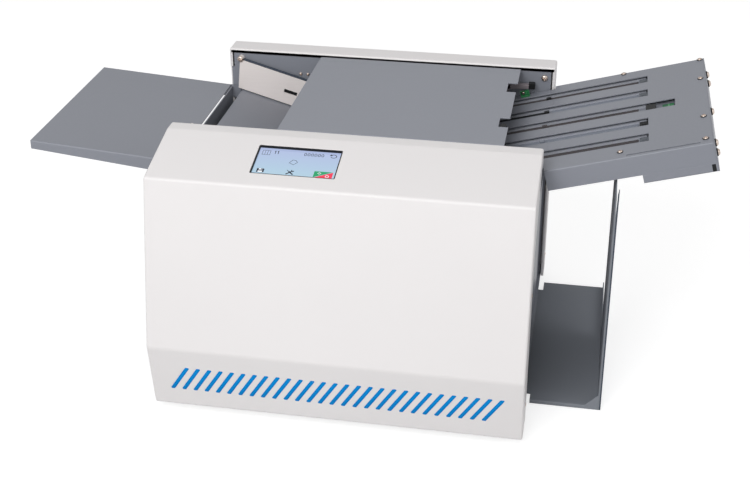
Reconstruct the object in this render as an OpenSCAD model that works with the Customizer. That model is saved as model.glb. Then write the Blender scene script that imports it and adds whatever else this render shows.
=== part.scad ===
// Desktop pressure sealer. Forms are fed from the sloping table on the left, folded twice
// between rubber rollers, sealed between steel rollers and dropped into the catch tray on
// the right. X runs along the paper path, Y to the back and Z up. Sizes are millimetres.
// Inside the modules X starts at the covers' left ends and Y at the front cover's face.

/* [Body] */
// Width of the two covers along the paper path
body_w = 450; // [420:1:560]
// Depth over both covers
body_d = 435; // [380:1:540]
// Height of the rear cover's top over the desk
body_h = 331; // [325:1:380]
// Height of the rubber feet
foot_h = 12; // [11:0.5:15]
// Radius of the rubber feet
foot_r = 11; // [8:0.5:14]

/* [Front cover] */
// Sheet thickness of both covers
cover_t = 2; // [1.5:0.5:2.5]
// How far the bottom edge stands back under the front face
undercut = 14; // [6:1:20]
// Height of the bend between the undercut and the front face
lower_bend_z = 100; // [80:1:130]
// How far the front face leans back
front_lean = 38; // [20:1:50]
// Depth of the sloping panel
slant_run = 92; // [80:1:120]
// Rise of the sloping panel
slant_rise = 22; // [15:1:40]
// Depth of the flat band behind the sloping panel
top_band = 20; // [14:1:40]
// Step from the rear cover's top down to the front cover's top
top_step = 2; // [0:0.5:6]
// Depth of the front cover's side walls
side_return = 58; // [50:1:60]

/* [Vent strip] */
// Number of slanted slots
vent_count = 28; // [10:1:28]
// Spacing of the slots
vent_pitch = 14; // [12:0.5:14.5]
// Width of a slot
vent_w = 4.8; // [3:0.2:5]
// Length of a slot between its round ends' centres
vent_len = 36; // [20:1:44]
// Lean of the slots from upright
vent_lean = 32; // [0:1:40]
// Thickness of the strip behind the slots
vent_back_t = 1.5; // [1:0.5:3]

/* [Touch screen] */
// Width of the screen opening
screen_w = 100; // [70:1:120]
// Height of the screen opening
screen_h = 53; // [40:1:62]
// Distance of the opening from the cover's left end
screen_x = 120; // [60:1:220]
// Distance of the opening above the lower bend of the sloping panel
screen_y = 23; // [12:1:24]
// Depth of the display glass below the panel
screen_depth = 3.5; // [2.5:0.5:5]

/* [Rear cover] */
// Depth of the rear cover
rear_d = 34; // [32:1:60]
// Width of the lip around its open front
rear_lip = 3; // [3:1:8]

/* [Frames] */
// Thickness of the side frames
frame_t = 2.5; // [2:0.5:4]
// Distance of the frames' ends from the covers' ends
frame_end = 6; // [5:1:10]
// Setback of the frames' inner faces from the covers' edges
frame_set = 3.5; // [2:0.5:6]
// Drop of the frames' top below the rear cover's top
frame_drop = 9; // [6:1:14]
// Radius of the tie rods
tie_r = 6; // [4:0.5:8]

/* [Feed table] */
// Length of the table outside the covers
table_len = 187; // [120:1:260]
// Slope of the table down towards the machine
table_tilt = 4.1; // [0:0.1:8]
// Height of the table's top where it enters the machine
table_z = 277.5; // [270:0.5:290]
// Depth of the table's side flanges at the outer end
table_flange_out = 11.5; // [6:0.5:16]
// Depth of the table's side flanges at the machine
table_flange_in = 19; // [14:0.5:30]
// Slope of the hopper floor inside the machine
floor_tilt = 16; // [10:0.5:20]
// Distance of the rear paper guide from the rear frame
guide_gap = 6; // [4:0.5:12]
// Width of the paper between the guides
paper_w = 222; // [198:1:234]
// Height of the paper guides over the hopper floor
guide_h = 42; // [25:1:42]

/* [Rollers] */
// Radius of the fold rollers
fold_r = 15; // [12:0.5:15]
// Gap between two rollers of a pair
nip_gap = 0.4; // [0.2:0.1:1]
// Radius of the steel seal rollers
seal_r = 22.2; // [18:0.2:22.4]
// Radius of the feed tyres
feed_r = 20; // [16:0.5:22]
// Radius of the fold roller shafts
shaft_r = 5; // [4:0.5:6]
// Radius of the seal roller shafts
seal_shaft_r = 8; // [6:0.5:9]
// Running clearance of a shaft in its bush
run_gap = 0.05; // [0.02:0.01:0.08]
// Distance of the first fold nip from the upper fold plate's end
nip_ahead = 15.4; // [15:0.1:18]
// Distance between the two seal nips
seal_pitch = 50; // [49:0.5:54]

/* [Gears] */
// Tooth size of all gears
gear_m = 1.6; // [1.6:0.1:1.6]
// Teeth of an idler gear
idler_teeth = 12; // [12:1:14]
// Width of the gears
gear_w = 8; // [6:1:10]

/* [Fold plates] */
// Slope of the upper fold plate
fold_tilt = 15.4; // [12:0.1:18]
// Length of the upper fold plate
fold_len = 374.5; // [340:0.5:450]
// Distance of the plate's inner end from the covers' right end
fold_in = 173; // [168:1:180]
// Drop of the plate's inner end below the rear cover's top
fold_drop = 76.1; // [74:0.1:80]
// How much wider than the frames' gap the plate is outside the covers
fold_over = 11; // [8:1:24]
// Sheet thickness of the fold plates
fold_t = 1.5; // [1:0.5:2]
// Clear gap inside the fold plates
fold_gap = 4.5; // [3:0.5:6]
// Depth of the upper plate's side flanges
fold_flange = 26; // [20:1:30]
// Length of the end box under the upper plate
end_box_len = 84; // [60:1:100]
// Depth of the end box below the flanges
end_box_d = 11; // [8:1:16]
// Width of a slot in the upper plate
slot_w = 23; // [12:1:23]
// Spacing of the slots across the plate
slot_pitch = 46.4; // [36:0.2:48]
// Length of the lower fold plate
lower_len = 150; // [130:1:160]

/* [Top cover] */
// Distance of the top cover's left edge from the covers' left end
lid_left = 131; // [120:1:160]
// Distance of the top cover's right edge from the covers' right end
lid_right = 46.5; // [40:0.5:80]
// Depth of the two notches in the right edge
notch_d = 12; // [6:1:20]
// Width of the two notches
notch_w = 28; // [16:1:36]

/* [Catch tray] */
// Reach of the tray beyond the covers
tray_reach = 88; // [60:1:120]
// How much wider than the frames' gap the tray is
tray_over = 32; // [10:1:34]
// Height of the tray's end wall over the desk
tray_h = 292; // [150:1:294]
// Width of the end wall's front and rear flanges
tray_flange = 3; // [2:0.5:8]

/* [Hidden] */
white = "#e8e5e4";
grey = "#878a92";
dark = "#3a3d42";
black = "#1d1e20";
steel = "#b9bcc0";
stainless = "#ddd6d4";
rubber = "#4a4d52";
brass = "#b08d5a";

// Heights and depths of the two covers
front_top = body_h - top_step;
upper_bend_z = front_top - slant_rise;
front_d = front_lean + slant_run + top_band;
rear_y = body_d - rear_d;
slant_angle = atan2(slant_rise, slant_run);
slant_len = norm([slant_run, slant_rise]);
under_angle = atan2(lower_bend_z - foot_h, -undercut);
under_len = norm([undercut, lower_bend_z - foot_h]);

// Inner faces and ends of the side frames
fy = front_d - frame_set - 0.5;
ry = rear_y + frame_set - 0.5;
gap_y = ry - fy;
mid_y = (fy + ry) / 2;
frame_x0 = frame_end;
frame_x1 = body_w - frame_end;
plate_z = foot_h + 2;
frame_top = body_h - frame_drop;
roll_y0 = fy + 4;
roll_y1 = ry - 4;
gear_y = fy - frame_t - 17.5 - gear_w;
belt_y = gear_y - 14;
belt_w = 8;

// First fold nip, on the line of the upper fold plate
fold_x = body_w - fold_in;
fold_z = body_h - fold_drop;
half_gap = fold_t + fold_gap / 2;
fold_dir = [cos(fold_tilt), sin(fold_tilt)];
fold_up = [-sin(fold_tilt), cos(fold_tilt)];
nip_1 = [fold_x, fold_z] - nip_ahead * fold_dir - half_gap * fold_up;
roll_step = 2 * fold_r + nip_gap;
roller_1 = nip_1 + roll_step / 2 * fold_up;
roller_2 = nip_1 - roll_step / 2 * fold_up;
roller_3 = roller_2 + roll_step * [cos(10), -sin(10)];
roller_4 = roller_3 + roll_step * [-sin(10), -cos(10)];
// Path down from the third and fourth rollers through the two seal nips
seal_dir = [cos(10), -sin(10)];
seal_up = [sin(10), cos(10)];
nip_3 = (roller_3 + roller_4) / 2;
seal_step = 2 * seal_r + nip_gap;
seal_nip_1 = nip_3 + 54.6 * seal_dir;
seal_nip_2 = seal_nip_1 + (seal_pitch + 0.8) * seal_dir;
seal_1 = seal_nip_1 + seal_step / 2 * seal_up;
seal_2 = seal_nip_1 - seal_step / 2 * seal_up;
seal_3 = seal_nip_2 + seal_step / 2 * seal_up;
seal_4 = seal_nip_2 - seal_step / 2 * seal_up;
seal_drop_z = seal_nip_2[1] - (body_w - seal_nip_2[0]) * tan(10);

// Feed roller over the end of the hopper floor
feed_nip = [140, table_z - 140 * tan(floor_tilt)];
feed_c = feed_nip + (feed_r + 0.6) * [sin(floor_tilt), cos(floor_tilt)];
pad_z = feed_c[1] - feed_r - 0.4;
arm_pivot = [feed_c[0] + 24, pad_z - 15];
lift_pivot = [20, table_z - 20 * tan(floor_tilt) - 7];
lift_x1 = feed_c[0] - 12;
tyre_pitch = 60;
tyre_half = 12;

// Gear teeth counts and centres
fold_teeth = floor(roll_step / gear_m + 0.01);
seal_teeth = floor(seal_step / gear_m + 0.01);
idler_rp = gear_m * idler_teeth / 2;
fold_rp = roll_step / 2;
seal_rp = seal_step / 2;
idler_1 = third(roller_4, seal_2, fold_rp + idler_rp, seal_rp + idler_rp, -1);
idler_2 = third(seal_2, seal_4, seal_rp + idler_rp, seal_rp + idler_rp, -1);

// Tooth angles that put every pair in mesh
phase_2 = 0;
phase_1 = mesh(phase_2, roller_2, roller_1, fold_teeth, fold_teeth);
phase_3 = mesh(phase_2, roller_2, roller_3, fold_teeth, fold_teeth);
phase_4 = mesh(phase_3, roller_3, roller_4, fold_teeth, fold_teeth);
phase_i1 = mesh(phase_4, roller_4, idler_1, fold_teeth, idler_teeth);
phase_s2 = mesh(phase_i1, idler_1, seal_2, idler_teeth, seal_teeth);
phase_s1 = mesh(phase_s2, seal_2, seal_1, seal_teeth, seal_teeth);
phase_i2 = mesh(phase_s2, seal_2, idler_2, seal_teeth, idler_teeth);
phase_s4 = mesh(phase_i2, idler_2, seal_4, idler_teeth, seal_teeth);
phase_s3 = mesh(phase_s4, seal_4, seal_3, seal_teeth, seal_teeth);

// Upper fold plate
fold_w = gap_y + fold_over;
neck_end = (body_w + 1 - fold_x) / cos(fold_tilt);
fold_y0 = mid_y + 1.5 - fold_w / 2;
fold_y1 = mid_y + 1.5 + fold_w / 2;
slot_y = [for (k = [-2 : 2]) mid_y + 5.5 + k * slot_pitch];
slot_u1 = fold_len - 72;
slot_mid_u1 = fold_len - 39;
slot_u0 = 70;
slot_near = 10;
finger_slot_w = 7;
box_u0 = fold_len - end_box_len;
stop_u = neck_end - 8;
screw_w = -18;
screw_y = slot_y[2];
screw_r = 3;
screw_u0 = 74;
base_w = -fold_t - fold_gap;

// Lower fold plate
lower_angle = 115;
lower_top = roller_2 + [1, -28.3];

// Shafts that turn in bushes: centre and shaft radius
shafts = [[roller_1, shaft_r], [roller_2, shaft_r], [roller_3, shaft_r], [roller_4, shaft_r],
    [feed_c, shaft_r], [seal_1, seal_shaft_r], [seal_2, seal_shaft_r],
    [seal_3, seal_shaft_r], [seal_4, seal_shaft_r]];
bush_wall = 3.5;
tie_xz = [[30, 120], [175, 60], [body_w - 40, 100], [170, 175], [body_w - 25, fold_z + 7]];
hinge = [lid_left + 9, body_h - 19];
hinge_r = 4;
guide_rod = [10, table_z - 28];
guide_rod_r = 4;

// Motor, pulleys and belts
motor_c = [body_w - 215, 95];
motor_r = 32;
motor_pulley_r = 12;
seal_pulley_r = 30;
feed_pulley_r = 16;
first_pulley_r = 11;
belt_t = 2;

// Tray
tray_x1 = body_w + tray_reach;
tray_w = gap_y + tray_over;
tray_y0 = mid_y - 24 - tray_w / 2;
tongue_y0 = 120;
tongue_y1 = ry - 30;

// The model's own frame stands at the middle of its outline, on the desk
x_min = -table_len * cos(table_tilt);
x_max = fold_x + (fold_len + fold_t) * cos(fold_tilt) + (fold_flange + end_box_d) * sin(fold_tilt);

function unit(v) = v / norm(v);
function right_of(v) = [v[1], -v[0]];
// Third corner of a triangle on a and b with sides ra and rb, left or right of the line
function third(a, b, ra, rb, side) = let(d = norm(b - a), u = (b - a) / d,
    s = (ra * ra - rb * rb + d * d) / (2 * d), h = sqrt(max(0, ra * ra - s * s)))
    a + s * u + side * h * [-u[1], u[0]];
// Angle of a gear at b that meshes with a gear at a, whose angle is phase
function mesh(phase, a, b, na, nb) = let(d = atan2(b[1] - a[1], b[0] - a[0]),
    f = (d - phase) / (360 / na)) d + 180 - (0.5 - f) * 360 / nb;
function shifted(p, i, t) = let(n = len(p),
    a = right_of(unit(i > 0 ? p[i] - p[i - 1] : p[1] - p[0])),
    b = right_of(unit(i < n - 1 ? p[i + 1] - p[i] : p[n - 1] - p[n - 2])))
    p[i] + t * (a + b) / (1 + a * b);
// Outline of a bent sheet whose outer face follows the points and whose body lies right of them
function bent(p, t) = concat(p, [for (i = [len(p) - 1 : -1 : 0]) shifted(p, i, t)]);
// Outline of a gear: four points for each tooth
function gear_points(n, phase) = let(rp = gear_m * n / 2, rt = rp + 0.85 * gear_m,
    rr = rp - 1.15 * gear_m, tip = asin(0.34 * gear_m / rt), root = asin(0.96 * gear_m / rr))
    [for (k = [0 : n - 1], c = [[rr, -root], [rt, -tip], [rt, tip], [rr, root]])
        let(a = phase + k * 360 / n + c[1]) c[0] * [cos(a), sin(a)]];

module placed() {
    translate([-(x_min + x_max) / 2, -body_d / 2, 0]) children();
}

// Solid between y0 and y1 whose outline is given in X and Z
module slab_y(y0, y1) {
    translate([0, y1, 0]) rotate([90, 0, 0]) linear_extrude(y1 - y0) children();
}

// Solid between x0 and x1 whose outline is given in Y and Z
module slab_x(x0, x1) {
    translate([x0, 0, 0]) rotate([90, 0, 90]) linear_extrude(x1 - x0) children();
}

module rod_y(c, r, y0, y1) {
    translate([c[0], y1, c[1]]) rotate([90, 0, 0]) cylinder(r = r, h = y1 - y0, $fn = 48);
}

module box(x0, x1, y0, y1, z0, z1) {
    translate([x0, y0, z0]) cube([x1 - x0, y1 - y0, z1 - z0]);
}

module on_slant() {
    translate([0, front_lean, upper_bend_z]) rotate([slant_angle, 0, 0]) children();
}

module on_undercut() {
    translate([0, undercut, foot_h]) rotate([under_angle, 0, 0]) children();
}

module on_table() {
    translate([0, 0, table_z]) rotate([0, table_tilt, 0]) children();
}

module on_floor() {
    translate([0, 0, table_z]) rotate([0, floor_tilt, 0]) children();
}

module on_fold() {
    translate([fold_x, 0, fold_z]) rotate([0, -fold_tilt, 0]) children();
}

module on_lower() {
    translate([lower_top[0], 0, lower_top[1]]) rotate([0, lower_angle, 0]) children();
}

// Base, frames and covers

module base_plate() placed() color(grey) {
    difference() {
        union() {
            box(rear_lip + 1.3, body_w - rear_lip - 1.3, undercut + 26.3, body_d - cover_t - 0.3,
                foot_h, plate_z);
            box(20, body_w - 20, undercut + 14, undercut + 44, plate_z, plate_z + 2);
        }
        for (x = [50 : 20 : body_w - 60]) {
            box(x, x + 5, fy - 60, fy - 25, foot_h - 1, plate_z + 1);
        }
    }
    for (y = [tongue_y0 - 2.5, tongue_y1 + 0.5]) {
        box(body_w - 70, body_w - 12, y, y + 2, 1.5, foot_h);
    }
    box(body_w - 70, body_w - 12, tongue_y0 - 2.5, tongue_y0 + 8, 1.5, 3.2);
    box(body_w - 70, body_w - 12, tongue_y1 - 8, tongue_y1 + 2.5, 1.5, 3.2);
}

module frame_bores(y0, y1) {
    for (s = shafts) {
        rod_y(s[0], s[1] + bush_wall, y0 - 1, y1 + 1);
    }
    rod_y(hinge, hinge_r, y0 - 1, y1 + 1);
    rod_y(arm_pivot, hinge_r, y0 - 1, y1 + 1);
    rod_y(lift_pivot, 3, y0 - 1, y1 + 1);
}

module frame_plate(y0, y1, top) {
    slab_y(y0, y1) polygon([[frame_x0, plate_z], [frame_x1, plate_z], [frame_x1, top],
        [frame_x0, top]]);
}

// Pocket in a frame for the peg on the side of the upper fold plate
module peg_pocket(y0, y1) {
    on_fold() translate([peg_u, 0, -4]) rotate([90, 0, 0]) translate([0, 0, -y1 - 1])
        cylinder(r = 4, h = y1 - y0 + 2, $fn = 48);
}
peg_u = neck_end - 28;

module front_frame() placed() color(grey) {
    difference() {
        frame_plate(fy - frame_t, fy, frame_top);
        frame_bores(fy - frame_t, fy);
        peg_pocket(fy - frame_t, fy);
    }
    box(frame_x1 - frame_t, frame_x1, side_return + 6, fy - frame_t, plate_z, frame_top - 24);
    difference() {
        box(frame_x0, frame_x0 + frame_t, side_return + 6, fy - frame_t, plate_z, frame_top - 24);
        box(frame_x0 - 1, frame_x0 + 4, inlet_y - 13.5, inlet_y + 13.5, inlet_z - 10, inlet_z + 10);
        box(frame_x0 - 1, frame_x0 + 4, inlet_y - 10, inlet_y + 10, switch_z - 7, switch_z + 7);
    }
    box(frame_x0 + frame_t, frame_x1 - frame_t, fy - 14, fy - frame_t, plate_z, plate_z + frame_t);
    box(frame_x0 + 20, frame_x1 - 20, fy - 14, fy - frame_t, frame_top - frame_t, frame_top);
    for (x = [60, body_w - 60]) {
        translate([x, fy - 8, frame_top]) cylinder(r = 4, h = front_top - cover_t - frame_top, $fn = 32);
    }
    rod_y([body_w - 60, body_h - 28.6], 3, fy, fy + 8);
}
inlet_y = fy - 44;
inlet_z = 45;
switch_z = 80;

module rear_frame() placed() color(grey) {
    top = body_h - 4.5;
    difference() {
        union() {
            frame_plate(ry, ry + frame_t, top);
            box(cover_t + 0.4, frame_x0 + 1, ry, ry + frame_t, table_z - table_flange_in,
                side_notch_z - 0.6);
        }
        frame_bores(ry, ry + frame_t);
        peg_pocket(ry, ry + frame_t);
    }
    box(frame_x0, frame_x1, ry + frame_t, ry + 11, top - frame_t, top);
    box(frame_x0, frame_x1, ry + frame_t, ry + 14, plate_z, plate_z + frame_t);
    for (x = [60, body_w - 60]) {
        translate([x, ry + 6.8, top]) cylinder(r = 4, h = body_h - cover_t - top, $fn = 32);
    }
    rod_y([body_w - 60, body_h - 28.6], 3, ry - 8, ry);
}
side_notch_z = table_z + 27;

// One vent slot with level ends and rounded corners, leaning to the right and drawn in by a gap
module vent_shape(gap) {
    r = vent_w * 0.3 - gap;
    v = vent_len / 2 - gap - r;
    across = (vent_w / 2 - gap - r) / cos(vent_lean);
    shift = v * tan(vent_lean);
    centres = [[shift + across, v], [across - shift, -v], [-across - shift, -v], [shift - across, v]];
    turns = [90, -vent_lean, -90, -180 - vent_lean, -270];
    polygon([for (k = [0 : 3], t = [0 : 0.25 : 1]) let(a = turns[k] + t * (turns[k + 1] - turns[k]))
        centres[k] + r * [cos(a), sin(a)]]);
}

module vent_row(gap) {
    first = 36.7;
    for (k = [0 : vent_count - 1]) {
        translate([first + k * vent_pitch, under_len / 2 - 0.5]) vent_shape(gap);
    }
}

module front_cover() placed() color(white) {
    outline = [[undercut, foot_h], [0, lower_bend_z], [front_lean, upper_bend_z],
        [front_lean + slant_run, front_top], [front_d, front_top]];
    sheet = concat([[undercut + 26, foot_h]], outline, [[front_d, front_top - 12]]);
    wall = concat(outline, [[front_d, front_top - 19], [front_d - 22, front_top - 19],
        [side_return, front_top - 99], [side_return, foot_h]]);
    difference() {
        union() {
            slab_x(0, body_w) polygon(bent(sheet, cover_t));
            slab_x(0, cover_t) polygon(wall);
            slab_x(body_w - cover_t, body_w) polygon(wall);
        }
        on_slant() translate([screen_x, screen_y, -10]) cube([screen_w, screen_h, 20]);
        on_undercut() translate([0, 0, -5]) linear_extrude(10) vent_row(0);
    }
}

module vent_strip() placed() color("#0086cf") {
    on_undercut() {
        translate([20, 14, -cover_t - vent_back_t]) {
            cube([min(body_w - 40, 34.4 + vent_pitch * vent_count), under_len - 28, vent_back_t - 0.05]);
        }
        translate([0, 0, -cover_t - 0.5]) linear_extrude(cover_t + 0.3) vent_row(0.1);
    }
}

module rear_cover() placed() color(white) {
    y0 = rear_y + 2;
    side_lip = rear_lip + 1;
    difference() {
        box(0, body_w, y0, body_d, foot_h, body_h);
        box(cover_t, body_w - cover_t, y0 + cover_t, body_d - cover_t, foot_h - 1,
            body_h - cover_t);
        box(side_lip, body_w - side_lip, y0 - 1, y0 + cover_t + 1, foot_h - 1,
            body_h - rear_lip);
        box(-1, side_lip + 1, y0 - 1, ry + frame_t + 0.4, table_z - table_flange_in - 2,
            side_notch_z);
        for (x = [cover_t + 0.4, body_w - cover_t - 5.4]) {
            box(x, x + 5, y0 - 1, y0 + cover_t + 1, body_h - 6, body_h - cover_t - 0.6);
        }
    }
}

module tie_rods() placed() color(steel) {
    for (c = tie_xz) {
        rod_y(c, tie_r, fy, ry);
    }
    rod_y(hinge, hinge_r, fy - frame_t, ry + frame_t);
    rod_y(arm_pivot, hinge_r, fy - frame_t, ry + frame_t);
    rod_y(lift_pivot, 3, fy - frame_t, ry + frame_t);
    rod_y(guide_rod, guide_rod_r, fy, ry);
}

module left_panel() placed() color(grey) {
    difference() {
        union() {
            box(12, 13.5, fy, ry, plate_z, table_z - 44);
            box(1, 13.5, fy + 1, ry - 4, table_z - 45.5, table_z - 44);
            box(1, 2.5, fy + 2.2, ry - 4, table_z - 45.5, table_z - 2);
        }
        for (y = [fy + 40 : 22 : ry - 40]) {
            box(11, 15, y, y + 8, plate_z + 20, plate_z + 70);
        }
    }
}

module right_panel() placed() color(grey) {
    difference() {
        box(body_w - 10, body_w - 8.5, fy, ry, plate_z, fold_z + 8);
        box(body_w - 11, body_w - 7, fy + 14, ry - 14, seal_drop_z - 8, seal_drop_z + 12);
    }
}

// Infeed

module table_flange(y) {
    inner = 14;
    slab_y(y, y + 1.5) polygon([[x_min, table_top(x_min)], [inner, table_top(inner)],
        [inner, table_top(inner) - table_flange_in], [x_min, table_top(x_min) - table_flange_out]]);
}
function table_top(x) = table_z - x * tan(table_tilt);

module feed_table() placed() color(grey) {
    slab_y(fy + 0.5, ry - 0.5) polygon(bent([[x_min, table_top(x_min) - table_flange_out],
        [x_min, table_top(x_min)], [0, table_z]], 1.5));
    table_flange(fy + 0.5);
    table_flange(ry - 2);
}

// A paper guide's sheet, standing just over the hopper floor with its left edge nearly upright
module guide_plate(y0, y1) {
    on_floor() slab_y(y0, y1) polygon([[12.2, 1.5], [lift_x1 + 4, 1.5],
        [lift_x1 + 4, guide_h + 1], [12.2 - guide_h * 0.18, guide_h + 1]]);
}
guide_screw = [17.2, table_z + 41.1];

module rear_guide() placed() color(stainless) {
    y = ry - guide_gap;
    guide_plate(y - 1.5, y);
    for (u = [24, lift_x1 - 16]) {
        on_floor() translate([u, ry, 18]) rotate([90, 0, 0])
            cylinder(r = 4, h = guide_gap, $fn = 32);
    }
    rod_y(guide_screw, 4, y - 1.5, ry);
}

module front_guide() placed() color(stainless) {
    y = min(ry - guide_gap - 1.5 - paper_w, mid_y + 1 - tyre_pitch - tyre_half - 3);
    guide_plate(y - 1.5, y);
    difference() {
        union() {
            slab_y(y - 1.5, y) polygon([[3, guide_rod[1] - 7], [16, guide_rod[1] - 7],
                [16, guide_rod[1] + 4], [15, table_z - 2], [19, table_z + 8], [3, table_z + 3]]);
            box(3, 16, y - 13.5, y - 1.5, guide_rod[1] - 7, guide_rod[1] + 7);
        }
        rod_y(guide_rod, guide_rod_r + run_gap, y - 20, y + 5);
    }
}

module lift_plate() placed() color(grey) {
    ears = 2;
    difference() {
        union() {
            on_floor() box(18, lift_x1 / cos(floor_tilt), fy + 2.5, ry - 2.5, -1.5, 0);
            for (y = [fy + 2.5, ry - 2.5 - ears]) {
                slab_y(y, y + ears) polygon([lift_pivot + [-4.5, -4.5], lift_pivot + [4.5, -4.5],
                    lift_pivot + [18, 0.5], lift_pivot + [-2, 6]]);
            }
        }
        rod_y(lift_pivot, 3 + run_gap, fy, ry);
    }
}

module separator_arm() placed() color(dark) {
    half = 34;
    difference() {
        slab_y(mid_y - half, mid_y + half) polygon([[feed_c[0] - 8, pad_z - 9],
            [feed_c[0] - 8, pad_z - 3], [feed_c[0] + 12, pad_z - 3], arm_pivot + [7, 4],
            arm_pivot + [7, -7], arm_pivot + [-7, -7], [feed_c[0] + 6, pad_z - 12]]);
        rod_y(arm_pivot, hinge_r + run_gap, mid_y - 60, mid_y + 60);
    }
}

module separator_pad() placed() color("#7a5a3c") {
    box(feed_c[0] - 7, feed_c[0] + 10, mid_y - 30, mid_y + 30, pad_z - 3, pad_z);
}

module feed_roller() placed() {
    color(steel) rod_y(feed_c, shaft_r, belt_y - 3, ry + frame_t + 2);
    color(steel) rod_y(feed_c, feed_pulley_r, belt_y, belt_y + belt_w);
    color(rubber) for (k = [-1 : 1]) {
        y = mid_y + 1 + k * tyre_pitch;
        difference() {
            rod_y(feed_c, feed_r, y - tyre_half, y + tyre_half);
            rod_y(feed_c, shaft_r, y - tyre_half - 1, y + tyre_half + 1);
        }
    }
}

module infeed_chute() placed() color(stainless) {
    low = [[arm_pivot[0] - 2, pad_z - 3.4], nip_1 + [-20, -6.5]];
    high = [[feed_c[0] + 25, pad_z + 4.5], nip_1 + [-22, 2.5]];
    slab_y(fy, ry) polygon(bent(low, 1));
    slab_y(fy, ry) polygon(bent(high, -1));
}

// Rollers and gears

module gear(c, n, phase, y0, y1, hole) {
    slab_y(y0, y1) translate(c) difference() {
        polygon(gear_points(n, phase));
        circle(r = hole, $fn = 48);
    }
}

module fold_roller(c, phase, front_end) {
    color(steel) rod_y(c, shaft_r, front_end, ry + frame_t + 2);
    color(rubber) difference() {
        rod_y(c, fold_r, roll_y0, roll_y1);
        rod_y(c, shaft_r, roll_y0 - 1, roll_y1 + 1);
    }
    color(dark) gear(c, fold_teeth, phase, gear_y, gear_y + gear_w, shaft_r);
}

module seal_roller(c, phase, front_end) {
    color("#c8cacd") {
        rod_y(c, seal_shaft_r, front_end, ry + frame_t + 16);
        difference() {
            rod_y(c, seal_r, roll_y0, roll_y1);
            rod_y(c, seal_shaft_r, roll_y0 - 1, roll_y1 + 1);
        }
    }
    color(dark) gear(c, seal_teeth, phase, gear_y, gear_y + gear_w, seal_shaft_r);
}

module fold_roller_1() placed() {
    fold_roller(roller_1, phase_1, belt_y - 3);
    color(steel) difference() {
        rod_y(roller_1, first_pulley_r, belt_y, belt_y + belt_w);
        rod_y(roller_1, shaft_r, belt_y - 1, belt_y + belt_w + 1);
    }
}
module fold_roller_2() placed() fold_roller(roller_2, phase_2, gear_y - 2);
module fold_roller_3() placed() fold_roller(roller_3, phase_3, gear_y - 2);
module fold_roller_4() placed() fold_roller(roller_4, phase_4, gear_y - 2);
module seal_roller_1() placed() seal_roller(seal_1, phase_s1, gear_y - 2);
module seal_roller_2() placed() {
    seal_roller(seal_2, phase_s2, belt_y - 3);
    color(steel) difference() {
        rod_y(seal_2, seal_pulley_r, belt_y, belt_y + belt_w);
        rod_y(seal_2, seal_shaft_r, belt_y - 1, belt_y + belt_w + 1);
    }
}
module seal_roller_3() placed() seal_roller(seal_3, phase_s3, gear_y - 2);
module seal_roller_4() placed() seal_roller(seal_4, phase_s4, gear_y - 2);

module idler_gear_1() placed() color(dark) {
    gear(idler_1, idler_teeth, phase_i1, gear_y, gear_y + gear_w, 4 + run_gap);
}
module idler_gear_2() placed() color(dark) {
    gear(idler_2, idler_teeth, phase_i2, gear_y, gear_y + gear_w, 4 + run_gap);
}

module gear_studs() placed() color(steel) {
    for (c = [idler_1, idler_2]) {
        rod_y(c, 4, gear_y - 1, fy - frame_t);
        rod_y(c, 7, gear_y - 2.5, gear_y - 0.5);
        rod_y(c, 7, gear_y + gear_w + 0.5, fy - frame_t);
    }
}

module exit_guide(s0, s1) {
    for (side = [-1, 1]) {
        slab_y(fy, ry) polygon([for (c = [[s0, 3.2], [s1, 3.2], [s1, 4.4], [s0, 4.4]])
            nip_3 + c[0] * seal_dir + side * c[1] * seal_up]);
    }
}

module exit_chute() placed() color(stainless) {
    exit_guide(17, 37);
    exit_guide(72, 88);
    exit_guide(124, (body_w - 11.5 - nip_3[0]) / cos(10));
}

module shaft_bushes() placed() color(brass) {
    for (s = shafts) {
        for (side = [0, 1]) {
            y = side == 0 ? fy : ry;
            out = side == 0 ? -1 : 1;
            difference() {
                union() {
                    rod_y(s[0], s[1] + bush_wall, min(y, y + out * frame_t),
                        max(y, y + out * frame_t));
                    rod_y(s[0], s[1] + bush_wall + 1.5, min(y, y - out * 1.5),
                        max(y, y - out * 1.5));
                }
                rod_y(s[0], s[1] + run_gap, y - 10, y + 10);
            }
        }
    }
}

// Spring loading of the upper seal rollers

block_half = 17;
block_top = 19;
bridge_z = seal_1[1] + block_top + 16;

module pressure_blocks() placed() color(steel) {
    for (c = [seal_1, seal_3], y = [fy - frame_t - 14, ry + frame_t]) {
        difference() {
            box(c[0] - block_half, c[0] + block_half, y, y + 14, c[1] - 14, c[1] + block_top);
            rod_y(c, seal_shaft_r + run_gap, y - 1, y + 15);
        }
    }
}

// Stack of coned washers, each one bent the other way round from its neighbour
module washer_stack(h) {
    count = floor(h / 2);
    rise = h / count;
    rotate_extrude($fn = 48) {
        for (k = [0 : count - 1]) {
            up = k % 2;
            a = k * rise + (up == 1 ? 0 : rise - 1);
            b = k * rise + (up == 1 ? rise - 1 : 0);
            polygon([[3.3, a], [6.6, b], [6.6, b + 1], [3.3, a + 1]]);
        }
    }
}

module disc_springs() placed() color("#6d7076") {
    for (c = [seal_1, seal_3], y = [fy - frame_t - 7, ry + frame_t + 7]) {
        translate([c[0], y, c[1] + block_top]) washer_stack(bridge_z - c[1] - block_top);
    }
}

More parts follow.
